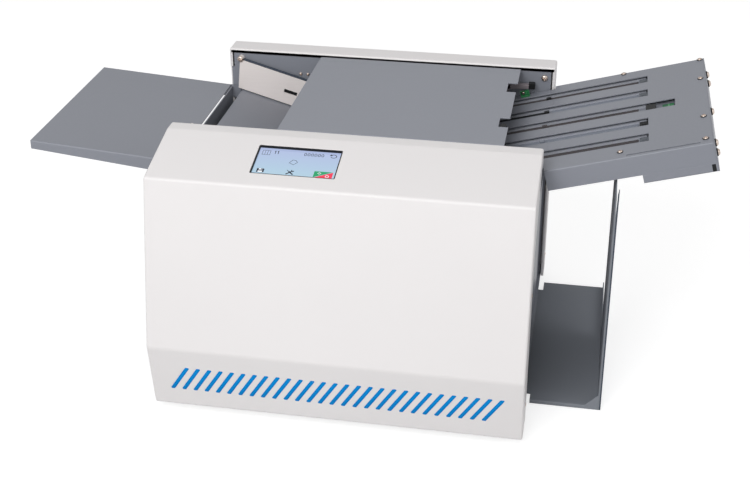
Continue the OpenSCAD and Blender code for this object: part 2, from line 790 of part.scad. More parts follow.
module pressure_bridges() placed() color(steel) {
    x0 = seal_1[0] - block_half;
    x1 = seal_3[0] + block_half;
    box(x0, x1, fy - frame_t - 14, fy - frame_t, bridge_z, bridge_z + 5);
    box(x0, x1, ry + frame_t, ry + frame_t + 14, bridge_z, bridge_z + 5);
    for (c = [seal_1, seal_3], y = [fy - frame_t - 7, ry + frame_t + 7]) {
        translate([c[0], y, c[1] + block_top]) {
            cylinder(r = 3, h = bridge_z - c[1] - block_top, $fn = 32);
        }
        translate([c[0], y, bridge_z + 5]) cylinder(r = 6, h = 4, $fn = 6);
    }
}

// Drive and electrics

module main_motor() placed() {
    color(dark) difference() {
        rod_y(motor_c, motor_r, belt_y - 64, belt_y - 4);
        rod_y(motor_c, 4 + run_gap, belt_y - 20, belt_y);
    }
    color(steel) difference() {
        rod_y(motor_c, 11, belt_y - 4, belt_y - 1.5);
        rod_y(motor_c, 4 + run_gap, belt_y - 20, belt_y);
    }
}

module motor_bracket() placed() color(grey) {
    difference() {
        union() {
            box(motor_c[0] - 36, motor_c[0] + 36, belt_y - 4, belt_y - 1.5, plate_z,
                motor_c[1] + 36);
            box(motor_c[0] - 36, motor_c[0] + 36, belt_y - 1.5, belt_y + 22, plate_z,
                plate_z + 2.5);
        }
        rod_y(motor_c, 11 + run_gap, belt_y - 5, belt_y);
    }
}

module motor_pulley() placed() color(steel) {
    rod_y(motor_c, 4, belt_y - 19, belt_y);
    rod_y(motor_c, motor_pulley_r, belt_y, belt_y + belt_w);
    rod_y(motor_c, motor_pulley_r + 3, belt_y - 1.2, belt_y);
    rod_y(motor_c, motor_pulley_r + 3, belt_y + belt_w, belt_y + belt_w + 1.2);
}

// Outline around two pulleys: an arc at each end and straight runs between them
function belt_points(a, ra, b, rb) = let(d = b - a, base = atan2(d[1], d[0]),
    tilt = acos((ra - rb) / norm(d)), n = 32)
    concat([for (i = [0 : n]) let(t = base + tilt + i * (360 - 2 * tilt) / n)
        a + ra * [cos(t), sin(t)]], [for (i = [0 : n]) let(t = base - tilt + i * 2 * tilt / n)
        b + rb * [cos(t), sin(t)]]);

module belt(a, ra, b, rb) {
    slab_y(belt_y + 0.5, belt_y + belt_w - 0.5) difference() {
        polygon(belt_points(a, ra + belt_t + 0.3, b, rb + belt_t + 0.3));
        polygon(belt_points(a, ra + 0.3, b, rb + 0.3));
    }
}

module drive_belt() placed() color(black) {
    belt(motor_c, motor_pulley_r, seal_2, seal_pulley_r);
}

module feed_belt() placed() color(black) {
    belt(feed_c, feed_pulley_r, roller_1, first_pulley_r);
}

module power_supply() placed() {
    color(steel) box(40, 150, fy - 86, fy - 22, plate_z, plate_z + 44);
    color("#a33a2a") translate([60, fy - 54, plate_z + 44]) cylinder(r = 12, h = 6, $fn = 32);
}

module main_board() placed() {
    y = fy - frame_t - 8;
    color("#1f6b3a") box(20, 120, y - 1.6, y, 100, 236);
    color(steel) for (x = [26, 114], z = [106, 230]) {
        rod_y([x, z], 3, y, fy - frame_t);
    }
    color(black) {
        box(40, 66, y - 4, y - 1.6, 150, 176);
        box(84, 96, y - 8, y - 1.6, 112, 150);
        box(30, 110, y - 10, y - 1.6, 214, 222);
    }
}

module power_inlet() placed() color(black) {
    y = inlet_y;
    z = inlet_z;
    difference() {
        union() {
            box(frame_x0 - 2.5, frame_x0, y - 24, y + 24, z - 12, z + 12);
            box(frame_x0 - 1, frame_x0 + 22, y - 13.3, y + 13.3, z - 9.8, z + 9.8);
        }
        box(frame_x0 - 3, frame_x0 + 14, y - 12, y + 12, z - 8, z + 8);
    }
    for (c = [[-7, -1.5], [0, 1.5], [7, -1.5]]) {
        box(frame_x0 - 1, frame_x0 + 15, y + c[0] - 1, y + c[0] + 1, z + c[1] - 2, z + c[1] + 2);
    }
}

module switch_housing() placed() color(black) {
    y = inlet_y;
    z = switch_z;
    difference() {
        union() {
            box(frame_x0 - 2, frame_x0, y - 12, y + 12, z - 8.5, z + 8.5);
            box(frame_x0 - 1, frame_x0 + 16, y - 9.8, y + 9.8, z - 6.8, z + 6.8);
        }
        box(frame_x0 - 3, frame_x0 + 12, y - 8.5, y + 8.5, z - 5.5, z + 5.5);
    }
    translate([frame_x0 + 4, y, z - 6]) cylinder(r = 1, h = 12, $fn = 24);
}

module switch_rocker() placed() color("#2b2d30") {
    y = inlet_y;
    translate([frame_x0 + 4, y, switch_z - 5.2]) difference() {
        linear_extrude(10.4) polygon([[-7, -7.6], [-5, 0], [-7, 7.6], [2, 7], [4, 2],
            [4, -2], [2, -7]]);
        translate([0, 0, -1]) cylinder(r = 1 + run_gap, h = 13, $fn = 24);
    }
}

// Touch screen

module screen_bezel() placed() color(black) {
    on_slant() difference() {
        union() {
            translate([screen_x - 6, screen_y - 6, -cover_t - 7]) {
                cube([screen_w + 12, screen_h + 12, 7]);
            }
            translate([screen_x + 0.3, screen_y + 0.3, -cover_t]) {
                cube([screen_w - 0.6, screen_h - 0.6, cover_t - 0.4]);
            }
        }
        translate([screen_x + 1.3, screen_y + 1.3, -20]) {
            cube([screen_w - 2.6, screen_h - 2.6, 30]);
        }
    }
}

module screen_glass() placed() color("#b8d0ea") {
    on_slant() translate([screen_x + 1.4, screen_y + 1.4, -screen_depth - 1.5]) {
        cube([screen_w - 2.8, screen_h - 2.8, 1.5]);
    }
}

module screen_board() placed() color("#1f6b3a") {
    on_slant() {
        translate([screen_x - 4, screen_y - 4, -cover_t - 8.6]) {
            cube([screen_w + 8, screen_h + 8, 1.6]);
        }
        translate([screen_x + 1.6, screen_y + 1.6, -cover_t - 7]) {
            cube([screen_w - 3.2, screen_h - 3.2, 5.5 - screen_depth + cover_t - 0.1]);
        }
    }
}

// Upper fold plate, in its own frame: u along the plate, w up from its top face

module slot_cuts(w, near, u0, u1, mid_u1, z0, z1) {
    for (k = [0 : 4]) {
        end = k == 2 ? mid_u1 : u1;
        box(u0, end, slot_y[k] - near, slot_y[k] - near + w, z0, z1);
    }
}

module fold_plate_top() placed() color(grey) {
    on_fold() {
        difference() {
            union() {
                box(0, neck_end + 1, roll_y0, roll_y1, -fold_t, 0);
                box(neck_end, fold_len, fold_y0, fold_y1, -fold_t, 0);
            }
            slot_cuts(slot_w, slot_near, slot_u0, slot_u1, slot_mid_u1, -10, 10);
            box(fold_len - 98, fold_len - 14, fold_y0 + 4.5, fold_y0 + 7.5, -5, 5);
            translate([neck_end + 1.5, fold_y0 + 40, -5]) cylinder(r = 1.5, h = 10, $fn = 24);
        }
        for (y = [roll_y0, roll_y1 - fold_t]) {
            box(0, neck_end, y, y + fold_t, -8, 0);
        }
        for (y = [fold_y0, fold_y1 - fold_t]) {
            box(neck_end, fold_len, y, y + fold_t, -fold_flange, 0);
        }
        for (y = [[fy - frame_t, roll_y0], [roll_y1, ry + frame_t]]) {
            translate([peg_u, y[1], -4]) rotate([90, 0, 0])
                cylinder(r = 3.95, h = y[1] - y[0], $fn = 48);
        }
        for (y = [latch_y - 1.8, latch_y + 7.3]) {
            box(latch_u - 4, latch_u + 4, y, y + 1.5, 0, 17);
        }
    }
    rod_y(latch_pin, 2, latch_y - 1.8, latch_y + 8.8);
}
latch_y = roll_y1 - 11.5;
latch_u = neck_end - 70;
latch_pin = [fold_x, fold_z] + latch_u * fold_dir + 13.2 * fold_up;

// Lever lying over the fold plate, with a black knob at its right end
module plate_latch() placed() color(stainless) {
    difference() {
        slab_y(latch_y, latch_y + 7) translate(latch_pin) {
            circle(r = 4.2, $fn = 32);
            polygon([[0, -4], [4, -3.6], [11, 6], [36, 8], [36, 13.4], [8, 12.7], [-3, 3]]);
            polygon([[35.5, 7.5], [43, 7.5], [44, 8.5], [44, 14.6], [43, 15.6], [35.5, 15.6]]);
        }
        rod_y(latch_pin, 2 + run_gap, latch_y - 1, latch_y + 8);
    }
}

// Clip on the fold plate under the top cover's front notch
module lid_catch() placed() color(black) {
    x0 = body_w - lid_right - notch_d + 1.5;
    plate_u = (x0 + 3.5 - fold_x) / cos(fold_tilt);
    y0 = slot_y[1] - slot_near - 19;
    on_fold() box(plate_u - 7, plate_u + 8, y0 - 1, y0 + 17, 0, 2.5);
    difference() {
        box(x0, x0 + 7, y0, y0 + 16, fold_z + plate_u * sin(fold_tilt) - 4, body_h - 6);
        on_fold() box(plate_u - 20, plate_u + 20, y0 - 2, y0 + 18, -20, 0);
    }
    box(x0 + 7, x0 + 10, y0, y0 + 6, body_h - 12, body_h - 6);
}

module fold_plate_base() placed() color(grey) {
    on_fold() {
        difference() {
            union() {
                box(2, neck_end + 1, roll_y0 + fold_t, roll_y1 - fold_t, base_w - fold_t, base_w);
                box(neck_end + 0.5, fold_len - 2, fold_y0 + fold_t, fold_y1 - fold_t,
                    base_w - fold_t, base_w);
            }
            slot_cuts(finger_slot_w, finger_slot_w / 2, 82, slot_u1 - 10, slot_u1 - 10, -20, 5);
        }
        for (y = [roll_y0 + fold_t, roll_y1 - fold_t - 2]) {
            box(2, fold_len - 2, y, y + 2, base_w, -fold_t);
        }
        difference() {
            box(screw_u0, screw_u0 + 6, screw_y - 9, screw_y + 9, screw_w - 6, base_w - fold_t);
            translate([screw_u0 - 2, screw_y, screw_w]) rotate([0, 90, 0])
                cylinder(r = screw_r + run_gap, h = 10, $fn = 32);
        }
    }
}

module fold_end_box() placed() color(grey) {
    low = -fold_flange - end_box_d;
    on_fold() {
        box(box_u0, fold_len, fold_y0, fold_y1, low, low + fold_t);
        box(box_u0, box_u0 + fold_t, fold_y0, fold_y1, low, -fold_flange);
        for (y = [fold_y0, fold_y1 - fold_t]) {
            box(box_u0, fold_len, y, y + fold_t, low, -fold_flange);
        }
        box(fold_len, fold_len + fold_t, fold_y0, fold_y1, low, 0);
    }
}

module fold_motor() placed() color(black) {
    low = -fold_flange - end_box_d + fold_t;
    on_fold() difference() {
        box(fold_len - 52, fold_len - 6, screw_y - 13, screw_y + 13, low, base_w - fold_t);
        translate([fold_len - 53, screw_y, screw_w]) rotate([0, 90, 0])
            cylinder(r = screw_r + run_gap, h = 12, $fn = 32);
    }
}

module fold_screw() placed() color(steel) {
    on_fold() translate([screw_u0 - 1, screw_y, screw_w]) rotate([0, 90, 0])
        cylinder(r = screw_r, h = fold_len - screw_u0 - 42, $fn = 32);
}

module fold_stop() placed() color(black) {
    on_fold() {
        difference() {
            union() {
                box(stop_u - 4, stop_u + 4, slot_y[0] - 8, slot_y[4] + 8, -14, -10);
                box(stop_u - 7, stop_u + 7, screw_y - 8, screw_y + 8, screw_w - 4.5, -10);
            }
            translate([stop_u - 10, screw_y, screw_w]) rotate([0, 90, 0])
                cylinder(r = screw_r + run_gap, h = 20, $fn = 32);
        }
        for (y = slot_y) {
            box(stop_u - 3, stop_u + 3, y - 2.5, y + 2.5, -10, -0.6);
        }
    }
}

module fold_sensor() placed() {
    on_fold() {
        color("#1f7a3c") box(slot_mid_u1 - 16, slot_mid_u1 - 2, slot_y[2] - 8, slot_y[2] + 8,
            base_w, base_w + 1.6);
        color(black) box(slot_mid_u1 - 36, slot_mid_u1 - 24, slot_y[2] - 8, slot_y[2] + 8,
            base_w, base_w + 5);
        color("#1f7a3c") box(latch_u + 24, latch_u + 36, latch_y + 1, latch_y + 2.6, 0, 9.5);
    }
}

module lower_plate() placed() color(grey) {
    on_lower() {
        for (side = [0, 1]) {
            w = side == 0 ? -2 - fold_t : 2;
            difference() {
                box(0, lower_len, roll_y0, roll_y1, w, w + fold_t);
                if (side == 1) for (y = lower_slots) {
                    box(40, lower_len - 12, y - 3.5, y + 3.5, w - 1, w + 3);
                }
            }
        }
        for (y = [[fy, roll_y0], [roll_y1, ry]]) {
            box(0, lower_len, y[0], y[1], -2 - fold_t, 2 + fold_t);
        }
        box(lower_len - 4, lower_len, roll_y0, roll_y1, -2, 2);
    }
}
lower_slots = [for (k = [-1 : 1]) mid_y + k * 70];

module lower_stop() placed() color(black) {
    on_lower() {
        box(86, 94, mid_y - 90, mid_y + 90, 7, 12);
        for (y = [mid_y - 35, mid_y + 35]) {
            box(86, 94, y - 9, y + 9, 2.3 + fold_t, 7);
        }
        for (y = lower_slots) {
            box(87, 93, y - 2.5, y + 2.5, -1.5, 7);
        }
    }
}

// Lid, tray, screws and feet

module top_cover() placed() color("#8f929a") {
    x1 = body_w - lid_right;
    top = body_h - 3;
    y0 = front_d + 1.5;
    y1 = rear_y - 1.5;
    difference() {
        union() {
            box(lid_left, x1, y0, y1, top - 1.5, top);
            box(lid_left, x1, y0, y0 + 1.5, top - 22, top);
            box(lid_left, x1, y1 - 1.5, y1, top - 22, top);
        }
        for (n = [[slot_y[3] - 10, notch_w + 3], [slot_y[1] - 30, notch_w]]) {
            box(x1 - notch_d, x1 + 1, n[0], n[0] + n[1], top - 3, top + 1);
        }
        rod_y(hinge, hinge_r + run_gap, y0 - 1, y1 + 1);
    }
}

module catch_tray() placed() color(grey) {
    x0 = body_w + 2;
    wall_x = tray_x1 - tray_flange;
    wall_y1 = tray_y0 + 160;
    y1 = tray_y0 + tray_w;
    box(x0, wall_x, tray_y0, y1, 4.5, 6);
    box(body_w - 72, x0, tongue_y0, tongue_y1, 4.5, 6);
    box(x0, wall_x, tray_y0, tray_y0 + 1.5, 1, 4.5);
    box(x0, wall_x, y1 - 1.5, y1, 1, 4.5);
    box(wall_x, wall_x + 1.5, tray_y0, wall_y1, 1, tray_h);
    box(wall_x, wall_x + 1.5, wall_y1 - 1, y1, 1, 14);
    slab_y(tray_y0, tray_y0 + 1.5) polygon([[wall_x, 1], [tray_x1, 1], [tray_x1, tray_h + 12],
        [wall_x + 1.5, tray_h - 24]]);
    slab_y(wall_y1 - 1.5, wall_y1) polygon([[wall_x, 1], [tray_x1, 1], [tray_x1, tray_h - 6],
        [wall_x + 1.5, tray_h]]);
    slab_y(tray_y0, tray_y0 + 1.5) polygon([[wall_x, 6], [wall_x, 22], [wall_x - 16, 6]]);
}

// Pan head with its shank sunk in the sheet, upright at the origin
module screw_head(r) {
    rotate_extrude($fn = 32) polygon([[0, 0], [r, 0], [r, r * 0.35], [r * 0.6, r * 0.7],
        [0, r * 0.7]]);
}

module machine_screws() placed() color(steel) {
    for (c = [[guide_screw[0], ry - guide_gap - 1.5, guide_screw[1]],
        [body_w - 14.6, ry, body_h - 15.5]]) {
        translate(c) rotate([90, 0, 0]) screw_head(4.4);
    }
    for (x = [100.3, 110.5]) {
        translate([x, ry, table_z + 21.8]) rotate([90, 0, 0]) screw_head(2.2);
    }
    on_fold() {
        for (c = [[fold_len - 103, fold_y1 - 4], [fold_len - 105, fold_y0 + 17],
            [fold_len - 4.2, fold_y1 - 3.2], [fold_len - 6, mid_y + 66.5],
            [fold_len - 7.3, mid_y - 54.3], [fold_len - 7.8, fold_y0 + 14.1]]) {
            translate([c[0], c[1], 0]) screw_head(3);
        }
        translate([latch_u + 28, latch_y + 1, 6.5]) rotate([90, 0, 0]) screw_head(1.8);
        for (c = [[fold_y0 + 8, -4.2], [fold_y0 + 8, -16.3], [mid_y - 32.5, -5],
            [fold_y1 - 50, -4.2], [fold_y1 - 50, -16.3]]) {
            translate([fold_len + fold_t, c[0], c[1]]) rotate([0, 90, 0]) screw_head(3.9);
        }
    }
}

module rubber_feet() placed() color(black) {
    for (x = [40, body_w - 40], y = [undercut + 56, rear_y + 6]) {
        translate([x, y, 0]) cylinder(r = foot_r, h = foot_h, $fn = 48);
    }
}

base_plate();
front_frame();
rear_frame();
front_cover();
vent_strip();
rear_cover();
tie_rods();
left_panel();
right_panel();
feed_table();
rear_guide();
front_guide();
lift_plate();
separator_arm();
separator_pad();
feed_roller();
infeed_chute();
fold_roller_1();
fold_roller_2();
fold_roller_3();
fold_roller_4();
seal_roller_1();
seal_roller_2();
seal_roller_3();
seal_roller_4();
idler_gear_1();
idler_gear_2();
gear_studs();
exit_chute();
shaft_bushes();
pressure_blocks();
disc_springs();
pressure_bridges();
main_motor();
motor_bracket();
motor_pulley();
drive_belt();
feed_belt();
power_supply();
main_board();
power_inlet();
switch_housing();
switch_rocker();
screen_bezel();
screen_glass();
screen_board();
fold_plate_top();
fold_plate_base();
fold_end_box();
fold_motor();
fold_screw();
fold_stop();
fold_sensor();
plate_latch();
lid_catch();
lower_plate();
lower_stop();
top_cover();
catch_tray();
machine_screws();
rubber_feet();
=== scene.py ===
import math

import bmesh
import bpy
from mathutils import Matrix, Vector


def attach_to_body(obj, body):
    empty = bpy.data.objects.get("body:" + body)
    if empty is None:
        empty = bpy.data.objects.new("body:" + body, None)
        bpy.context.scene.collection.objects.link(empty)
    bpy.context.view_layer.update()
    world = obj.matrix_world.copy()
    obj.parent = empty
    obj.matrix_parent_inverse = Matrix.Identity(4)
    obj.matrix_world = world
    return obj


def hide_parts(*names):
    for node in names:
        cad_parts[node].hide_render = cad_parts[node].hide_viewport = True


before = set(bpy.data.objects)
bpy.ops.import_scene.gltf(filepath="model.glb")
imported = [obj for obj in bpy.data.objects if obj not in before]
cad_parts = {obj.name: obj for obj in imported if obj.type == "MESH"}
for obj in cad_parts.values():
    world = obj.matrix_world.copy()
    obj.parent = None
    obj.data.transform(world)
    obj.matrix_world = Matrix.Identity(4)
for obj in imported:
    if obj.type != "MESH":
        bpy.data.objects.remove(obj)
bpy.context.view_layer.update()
print("frame loaded:", len(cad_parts), "parts")

mm = 0.001
# Left front corner of the covers on the desk, from which the machine's drawing sizes count
corner = Vector((-0.231402, -0.2175, 0.0))


def at(x, y, z):
    return corner + Vector((x, y, z)) * mm


def turned(origin, degrees, axis):
    return Matrix.Translation(at(*origin)) @ Matrix.Rotation(math.radians(degrees), 4, axis)


# Drawing planes of the sloping pieces: their own x, y and height in millimetres
upright = Matrix.Translation(corner)
slant = turned((0, 38, 307), 13.449, "X")        # panel with the touch screen
undercut = turned((0, 14, 12), 99.04, "X")      # face with the vent slots
table = turned((0, 0, 277.5), 4.1, "Y")          # feed table
hopper = turned((0, 0, 277.5), 16, "Y")          # hopper floor
foldPlate = turned((277, 0, 254.9), -15.4, "Y")  # upper fold plate


# Camera

camera = {"place": (0.27049, -1.45259, 0.96061), "yaw": -0.1796, "pitch": 0.4557,
          "roll": -0.0028, "lens": 62.514, "shiftY": -0.0793}


def makeCamera(c):
    forward = Vector((math.cos(c["pitch"]) * math.sin(c["yaw"]),
                      math.cos(c["pitch"]) * math.cos(c["yaw"]), -math.sin(c["pitch"])))
    right = Vector((math.cos(c["yaw"]), -math.sin(c["yaw"]), 0))
    up = right.cross(forward)
    rolledRight = right * math.cos(c["roll"]) + up * math.sin(c["roll"])
    rolledUp = up * math.cos(c["roll"]) - right * math.sin(c["roll"])
    data = bpy.data.cameras.new("camera")
    data.lens = c["lens"]
    data.sensor_width = 36
    data.shift_y = c["shiftY"]
    data.clip_end = 50
    view = bpy.data.objects.new("camera", data)
    bpy.context.scene.collection.objects.link(view)
    turn = Matrix((rolledRight, rolledUp, -forward)).transposed().to_4x4()
    view.matrix_world = Matrix.Translation(c["place"]) @ turn
    bpy.context.scene.camera = view


makeCamera(camera)
print("camera placed")


# Materials

def linear(hexColour):
    shares = [int(hexColour[i:i + 2], 16) / 255 for i in (1, 3, 5)]
    return [s / 12.92 if s <= 0.04045 else ((s + 0.055) / 1.055) ** 2.4 for s in shares] + [1]


# Adds a node: settings are its properties and unlinked inputs, links its linked inputs
def addNode(tree, kind, settings=None, links=None):
    node = tree.nodes.new(kind)
    for key, value in (settings or {}).items():
        if isinstance(key, int) or key in node.inputs:
            node.inputs[key].default_value = value
        else:
            setattr(node, key, value)
    for key, source in (links or {}).items():
        tree.links.new(source, node.inputs[key])
    return node


def startMaterial(name, colour, shaderInputs):
    material = bpy.data.materials.new(name)
    material.use_nodes = True
    tree = material.node_tree
    shader = tree.nodes["Principled BSDF"]
    shader.inputs["Base Color"].default_value = linear(colour)
    for key, value in shaderInputs.items():
        shader.inputs[key].default_value = value
    place = addNode(tree, "ShaderNodeTexCoord").outputs["Object"]
    return material, tree, shader, place


# Noise over the piece, a factor for the three functions below
def noise(tree, place, scale, detail, **more):
    settings = {"Scale": scale, "Detail": detail, **more}
    return addNode(tree, "ShaderNodeTexNoise", settings, {"Vector": place}).outputs[0]


def mixTones(tree, shader, first, second, factor, target="Base Color"):
    tone = addNode(tree, "ShaderNodeMix", {"data_type": "RGBA", 6: linear(first), 7: linear(second)},
                   {0: factor})
    tree.links.new(tone.outputs[2], shader.inputs[target])


def varyGloss(tree, shader, low, high, factor):
    gloss = addNode(tree, "ShaderNodeMapRange", {3: low, 4: high}, {0: factor})
    tree.links.new(gloss.outputs[0], shader.inputs["Roughness"])


def raiseGrain(tree, shader, strength, distance, height):
    bump = addNode(tree, "ShaderNodeBump", {"Strength": strength, "Distance": distance},
                   {"Height": height})
    tree.links.new(bump.outputs["Normal"], shader.inputs["Normal"])


# Polyester powder coat baked on sheet steel: even colour, satin gloss and a faint orange peel.
# The peel is about 2 mm across, drawn a little coarser than real so that it shows.
def powderCoat(name, colour, shade, roughness, specular=0.5):
    material, tree, shader, place = startMaterial(name, colour, {
        "Roughness": roughness, "IOR": 1.5, "Specular IOR Level": specular})
    mixTones(tree, shader, colour, shade, noise(tree, place, 5, 2))
    peel = noise(tree, place, 420, 2, Roughness=0.45)
    varyGloss(tree, shader, roughness - 0.05, roughness + 0.07, peel)
    raiseGrain(tree, shader, 0.35, 0.00005, peel)
    return material


# Injection moulded ABS or nylon: a fine spark-eroded texture, about 0.6 mm, and soft gloss
def mouldedPlastic(name, colour, shade, roughness, texture=1400, specular=0.5):
    material, tree, shader, place = startMaterial(name, colour, {
        "Roughness": roughness, "IOR": 1.53, "Specular IOR Level": specular})
    mixTones(tree, shader, colour, shade, noise(tree, place, 12, 3))
    grain = noise(tree, place, texture, 2)
    varyGloss(tree, shader, roughness - 0.06, roughness + 0.1, grain)
    raiseGrain(tree, shader, 0.3, 0.00004, grain)
    return material


# Cold-rolled stainless sheet with a brushed finish: long fine lines along the sheet, which
# spread its reflections across them. Lines are 0.5 mm apart, drawn coarser than real to show.
def brushedStainless(name, colour, shade, degrees, metallic=1, roughness=0.34):
    material, tree, shader, place = startMaterial(name, colour, {
        "Metallic": metallic, "Roughness": roughness})
    along = addNode(tree, "ShaderNodeMapping", {
        "Rotation": (0, math.radians(degrees), 0), "Scale": (12, 1900, 1900)}, {"Vector": place})
    lines = noise(tree, along.outputs[0], 1, 4, Roughness=0.6)
    mixTones(tree, shader, colour, shade, lines)
    varyGloss(tree, shader, roughness - 0.08, roughness + 0.16, lines)
    raiseGrain(tree, shader, 0.25, 0.00003, lines)
    return material


# Centreless-ground steel for shafts, rollers and rods: rings of fine grinding marks round
# the axis, which runs front to back, and clean cool reflections
def groundSteel(name, colour, shade, roughness=0.24):
    material, tree, shader, place = startMaterial(name, colour, {"Metallic": 1, "Roughness": roughness})
    rings = addNode(tree, "ShaderNodeMapping", {"Scale": (8, 1100, 8)}, {"Vector": place})
    marks = noise(tree, rings.outputs[0], 1, 3)
    mixTones(tree, shader, colour, shade, marks)
    varyGloss(tree, shader, roughness - 0.06, roughness + 0.14, marks)
    raiseGrain(tree, shader, 0.2, 0.00002, marks)
    return material


# Zinc-plated steel: bright, slightly cloudy, with a warm tint where the passivation is thicker
def zincPlate(name, colour, tint, cloud=160):
    material, tree, shader, place = startMaterial(name, colour, {"Metallic": 1, "Roughness": 0.3})
    clouds = noise(tree, place, cloud, 4, Distortion=0.6)
    mixTones(tree, shader, colour, tint, clouds)
    varyGloss(tree, shader, 0.2, 0.42, clouds)
    return material


# Ground or moulded rubber: matt, dusty lighter patches and a fine pebble of about 1 mm
def rubberSkin(name, colour, dust, roughness, pebble):
    material, tree, shader, place = startMaterial(name, colour, {"Roughness": roughness, "IOR": 1.52})
    mixTones(tree, shader, colour, dust, noise(tree, place, 40, 4))
    grain = addNode(tree, "ShaderNodeTexVoronoi", {"Scale": pebble}, {"Vector": place})
    raiseGrain(tree, shader, 0.4, 0.00008, grain.outputs["Distance"])
    return material


# Sintered bronze: warm metal with darker pores of about half a millimetre
def porousBronze(name, colour, pore, roughness):
    material, tree, shader, place = startMaterial(name, colour, {"Metallic": 1, "Roughness": roughness})
    pores = noise(tree, place, 1500, 2)
    mixTones(tree, shader, colour, pore, pores)
    raiseGrain(tree, shader, 0.2, 0.00003, pores)
    return material


# Cork and rubber friction pad: pressed granules of 2 mm in several browns
def corkPad(name):
    material, tree, shader, place = startMaterial(name, "#7A5A3C", {"Roughness": 0.9})
    granules = addNode(tree, "ShaderNodeTexVoronoi", {"Scale": 520}, {"Vector": place})
    browns = addNode(tree, "ShaderNodeValToRGB", {}, {0: granules.outputs["Color"]})
    browns.color_ramp.elements[0].color = linear("#4E3826")
    browns.color_ramp.elements[1].color = linear("#9A7450")
    tree.links.new(browns.outputs[0], shader.inputs["Base Color"])
    raiseGrain(tree, shader, 0.5, 0.0002, granules.outputs["Distance"])
    return material


# Circuit board: glass fibre under green solder mask, with paler tracks every 2.5 mm
def circuitBoard(name):
    material, tree, shader, place = startMaterial(name, "#1B6B3C", {"Roughness": 0.3})
    flat = addNode(tree, "ShaderNodeMapping", {"Rotation": (math.radians(90), 0, 0)}, {"Vector": place})
    tracks = addNode(tree, "ShaderNodeTexBrick", {
        "Scale": 1, "Color1": linear("#17603A"), "Color2": linear("#1F7A45"),
        "Mortar": linear("#5BA06A"), "Mortar Size": 0.0003, "Brick Width": 0.011,
        "Row Height": 0.0025}, {"Vector": flat.outputs[0]})
    tree.links.new(tracks.outputs["Color"], shader.inputs["Base Color"])
    raiseGrain(tree, shader, 0.2, 0.00005, tracks.outputs["Fac"])
    return material


# Lit colour display behind glass: a pale blue ground that turns from violet-blue at the top
# to aqua at the foot, seen through a glossy pane
def litDisplay(name, top, foot):
    material, tree, shader, place = startMaterial(name, "#141A22", {
        "Roughness": 0.12, "IOR": 1.5, "Emission Strength": 0.86})
    split = addNode(tree, "ShaderNodeSeparateXYZ", {}, {0: place})
    height = addNode(tree, "ShaderNodeMapRange", {1: at(0, 57, 0).y, 2: at(0, 112, 0).y},
                     {0: split.outputs["Y"]})
    mixTones(tree, shader, foot, top, height.outputs[0], "Emission Color")
    return material


# A sign shown on the display: one lit colour with a faint pixel grid of 0.25 mm
def litSign(name, colour, strength):
    grout = linear("#11161D")
    material, tree, shader, place = startMaterial(name, colour, {
        "Roughness": 0.15, "Emission Color": linear(colour), "Emission Strength": strength})
    grid = addNode(tree, "ShaderNodeTexChecker", {
        "Scale": 4000, "Color1": linear(colour), "Color2": grout}, {"Vector": place})
    tone = addNode(tree, "ShaderNodeMix", {"data_type": "RGBA", 0: 0.3, 6: grout},
                   {7: grid.outputs["Color"]})
    tree.links.new(tone.outputs[2], shader.inputs["Base Color"])
    return material


coverWhite = powderCoat("powderCoatWhite", "#E9E6E6", "#E5E2E2", 0.44)
panelGrey = powderCoat("powderCoatGrey", "#888B94", "#82858E", 0.4)
lidGrey = powderCoat("powderCoatLidGrey", "#8E919A", "#8A8D96", 0.46)
trayGrey = powderCoat("powderCoatTrayGrey", "#8C9097", "#868A91", 0.6, specular=0.02)
# Rib grey, lighter than the panel grey of the same sheet: painted light in the shaded gap under the fold
# plate's top sheet
ribGreyPaintedLight = powderCoat("powderCoatRibGrey", "#A3A6AF", "#9C9FA8", 0.45)
ventBlue = mouldedPlastic("blueAbs", "#0087D2", "#007EC8", 0.6, specular=0.08)
# Guide steel, near-white and barely metallic: a painted reflection of the bright surroundings and painted
# light against the shade of the guides' recess
guideSteelPaintedBright = brushedStainless("satinStainlessGuide", "#F4EDEA", "#E8E0DD", -16, 0.1, 0.5)
leverSteel = brushedStainless("satinStainlessLever", "#A39A9E", "#8F878B", 0, 0.5, 0.45)
stripSteel = brushedStainless("satinStainlessStrip", "#8D939E", "#838894", -15, 0.3, 0.5)
chuteStainless = brushedStainless("brushedStainlessChute", "#CFCBC8", "#B4B0AD", -10)
shaftSteel = groundSteel("groundShaftSteel", "#BBBEC2", "#9A9DA2")
rollSteel = groundSteel("hardChromedRollSteel", "#C6C9CC", "#A9ACB0", 0.18)
screwZinc = zincPlate("zincPlatedSteel", "#D2C4BB", "#BFAFA3")
bracketZinc = zincPlate("galvanisedBracket", "#B9BDC2", "#A3A8AE", 60)
springSteel = groundSteel("phosphatedSpringSteel", "#5D6066", "#43464B", 0.45)
rollerRubber = rubberSkin("groundRollerRubber", "#4A4D52", "#5A5D62", 0.75, 900)
footRubber = rubberSkin("mouldedFootRubber", "#1C1D1F", "#2A2B2D", 0.7, 1200)
beltRubber = rubberSkin("beltRubber", "#1A1B1D", "#26272A", 0.6, 1500)
bronze = porousBronze("sinteredBronze", "#B08D5A", "#8A6B40", 0.4)
blackPlastic = mouldedPlastic("blackAbs", "#141517", "#1B1C1E", 0.5, specular=0.2)
# Dark brown of the strips in the first, third and fifth slots and of the stop's fingers in the first and
# third: painted shade of the lower sheet's slot openings
slotShadeBrown = mouldedPlastic("vulcanisedFibre", "#524D4E", "#454143", 0.6, 700, 0.25)
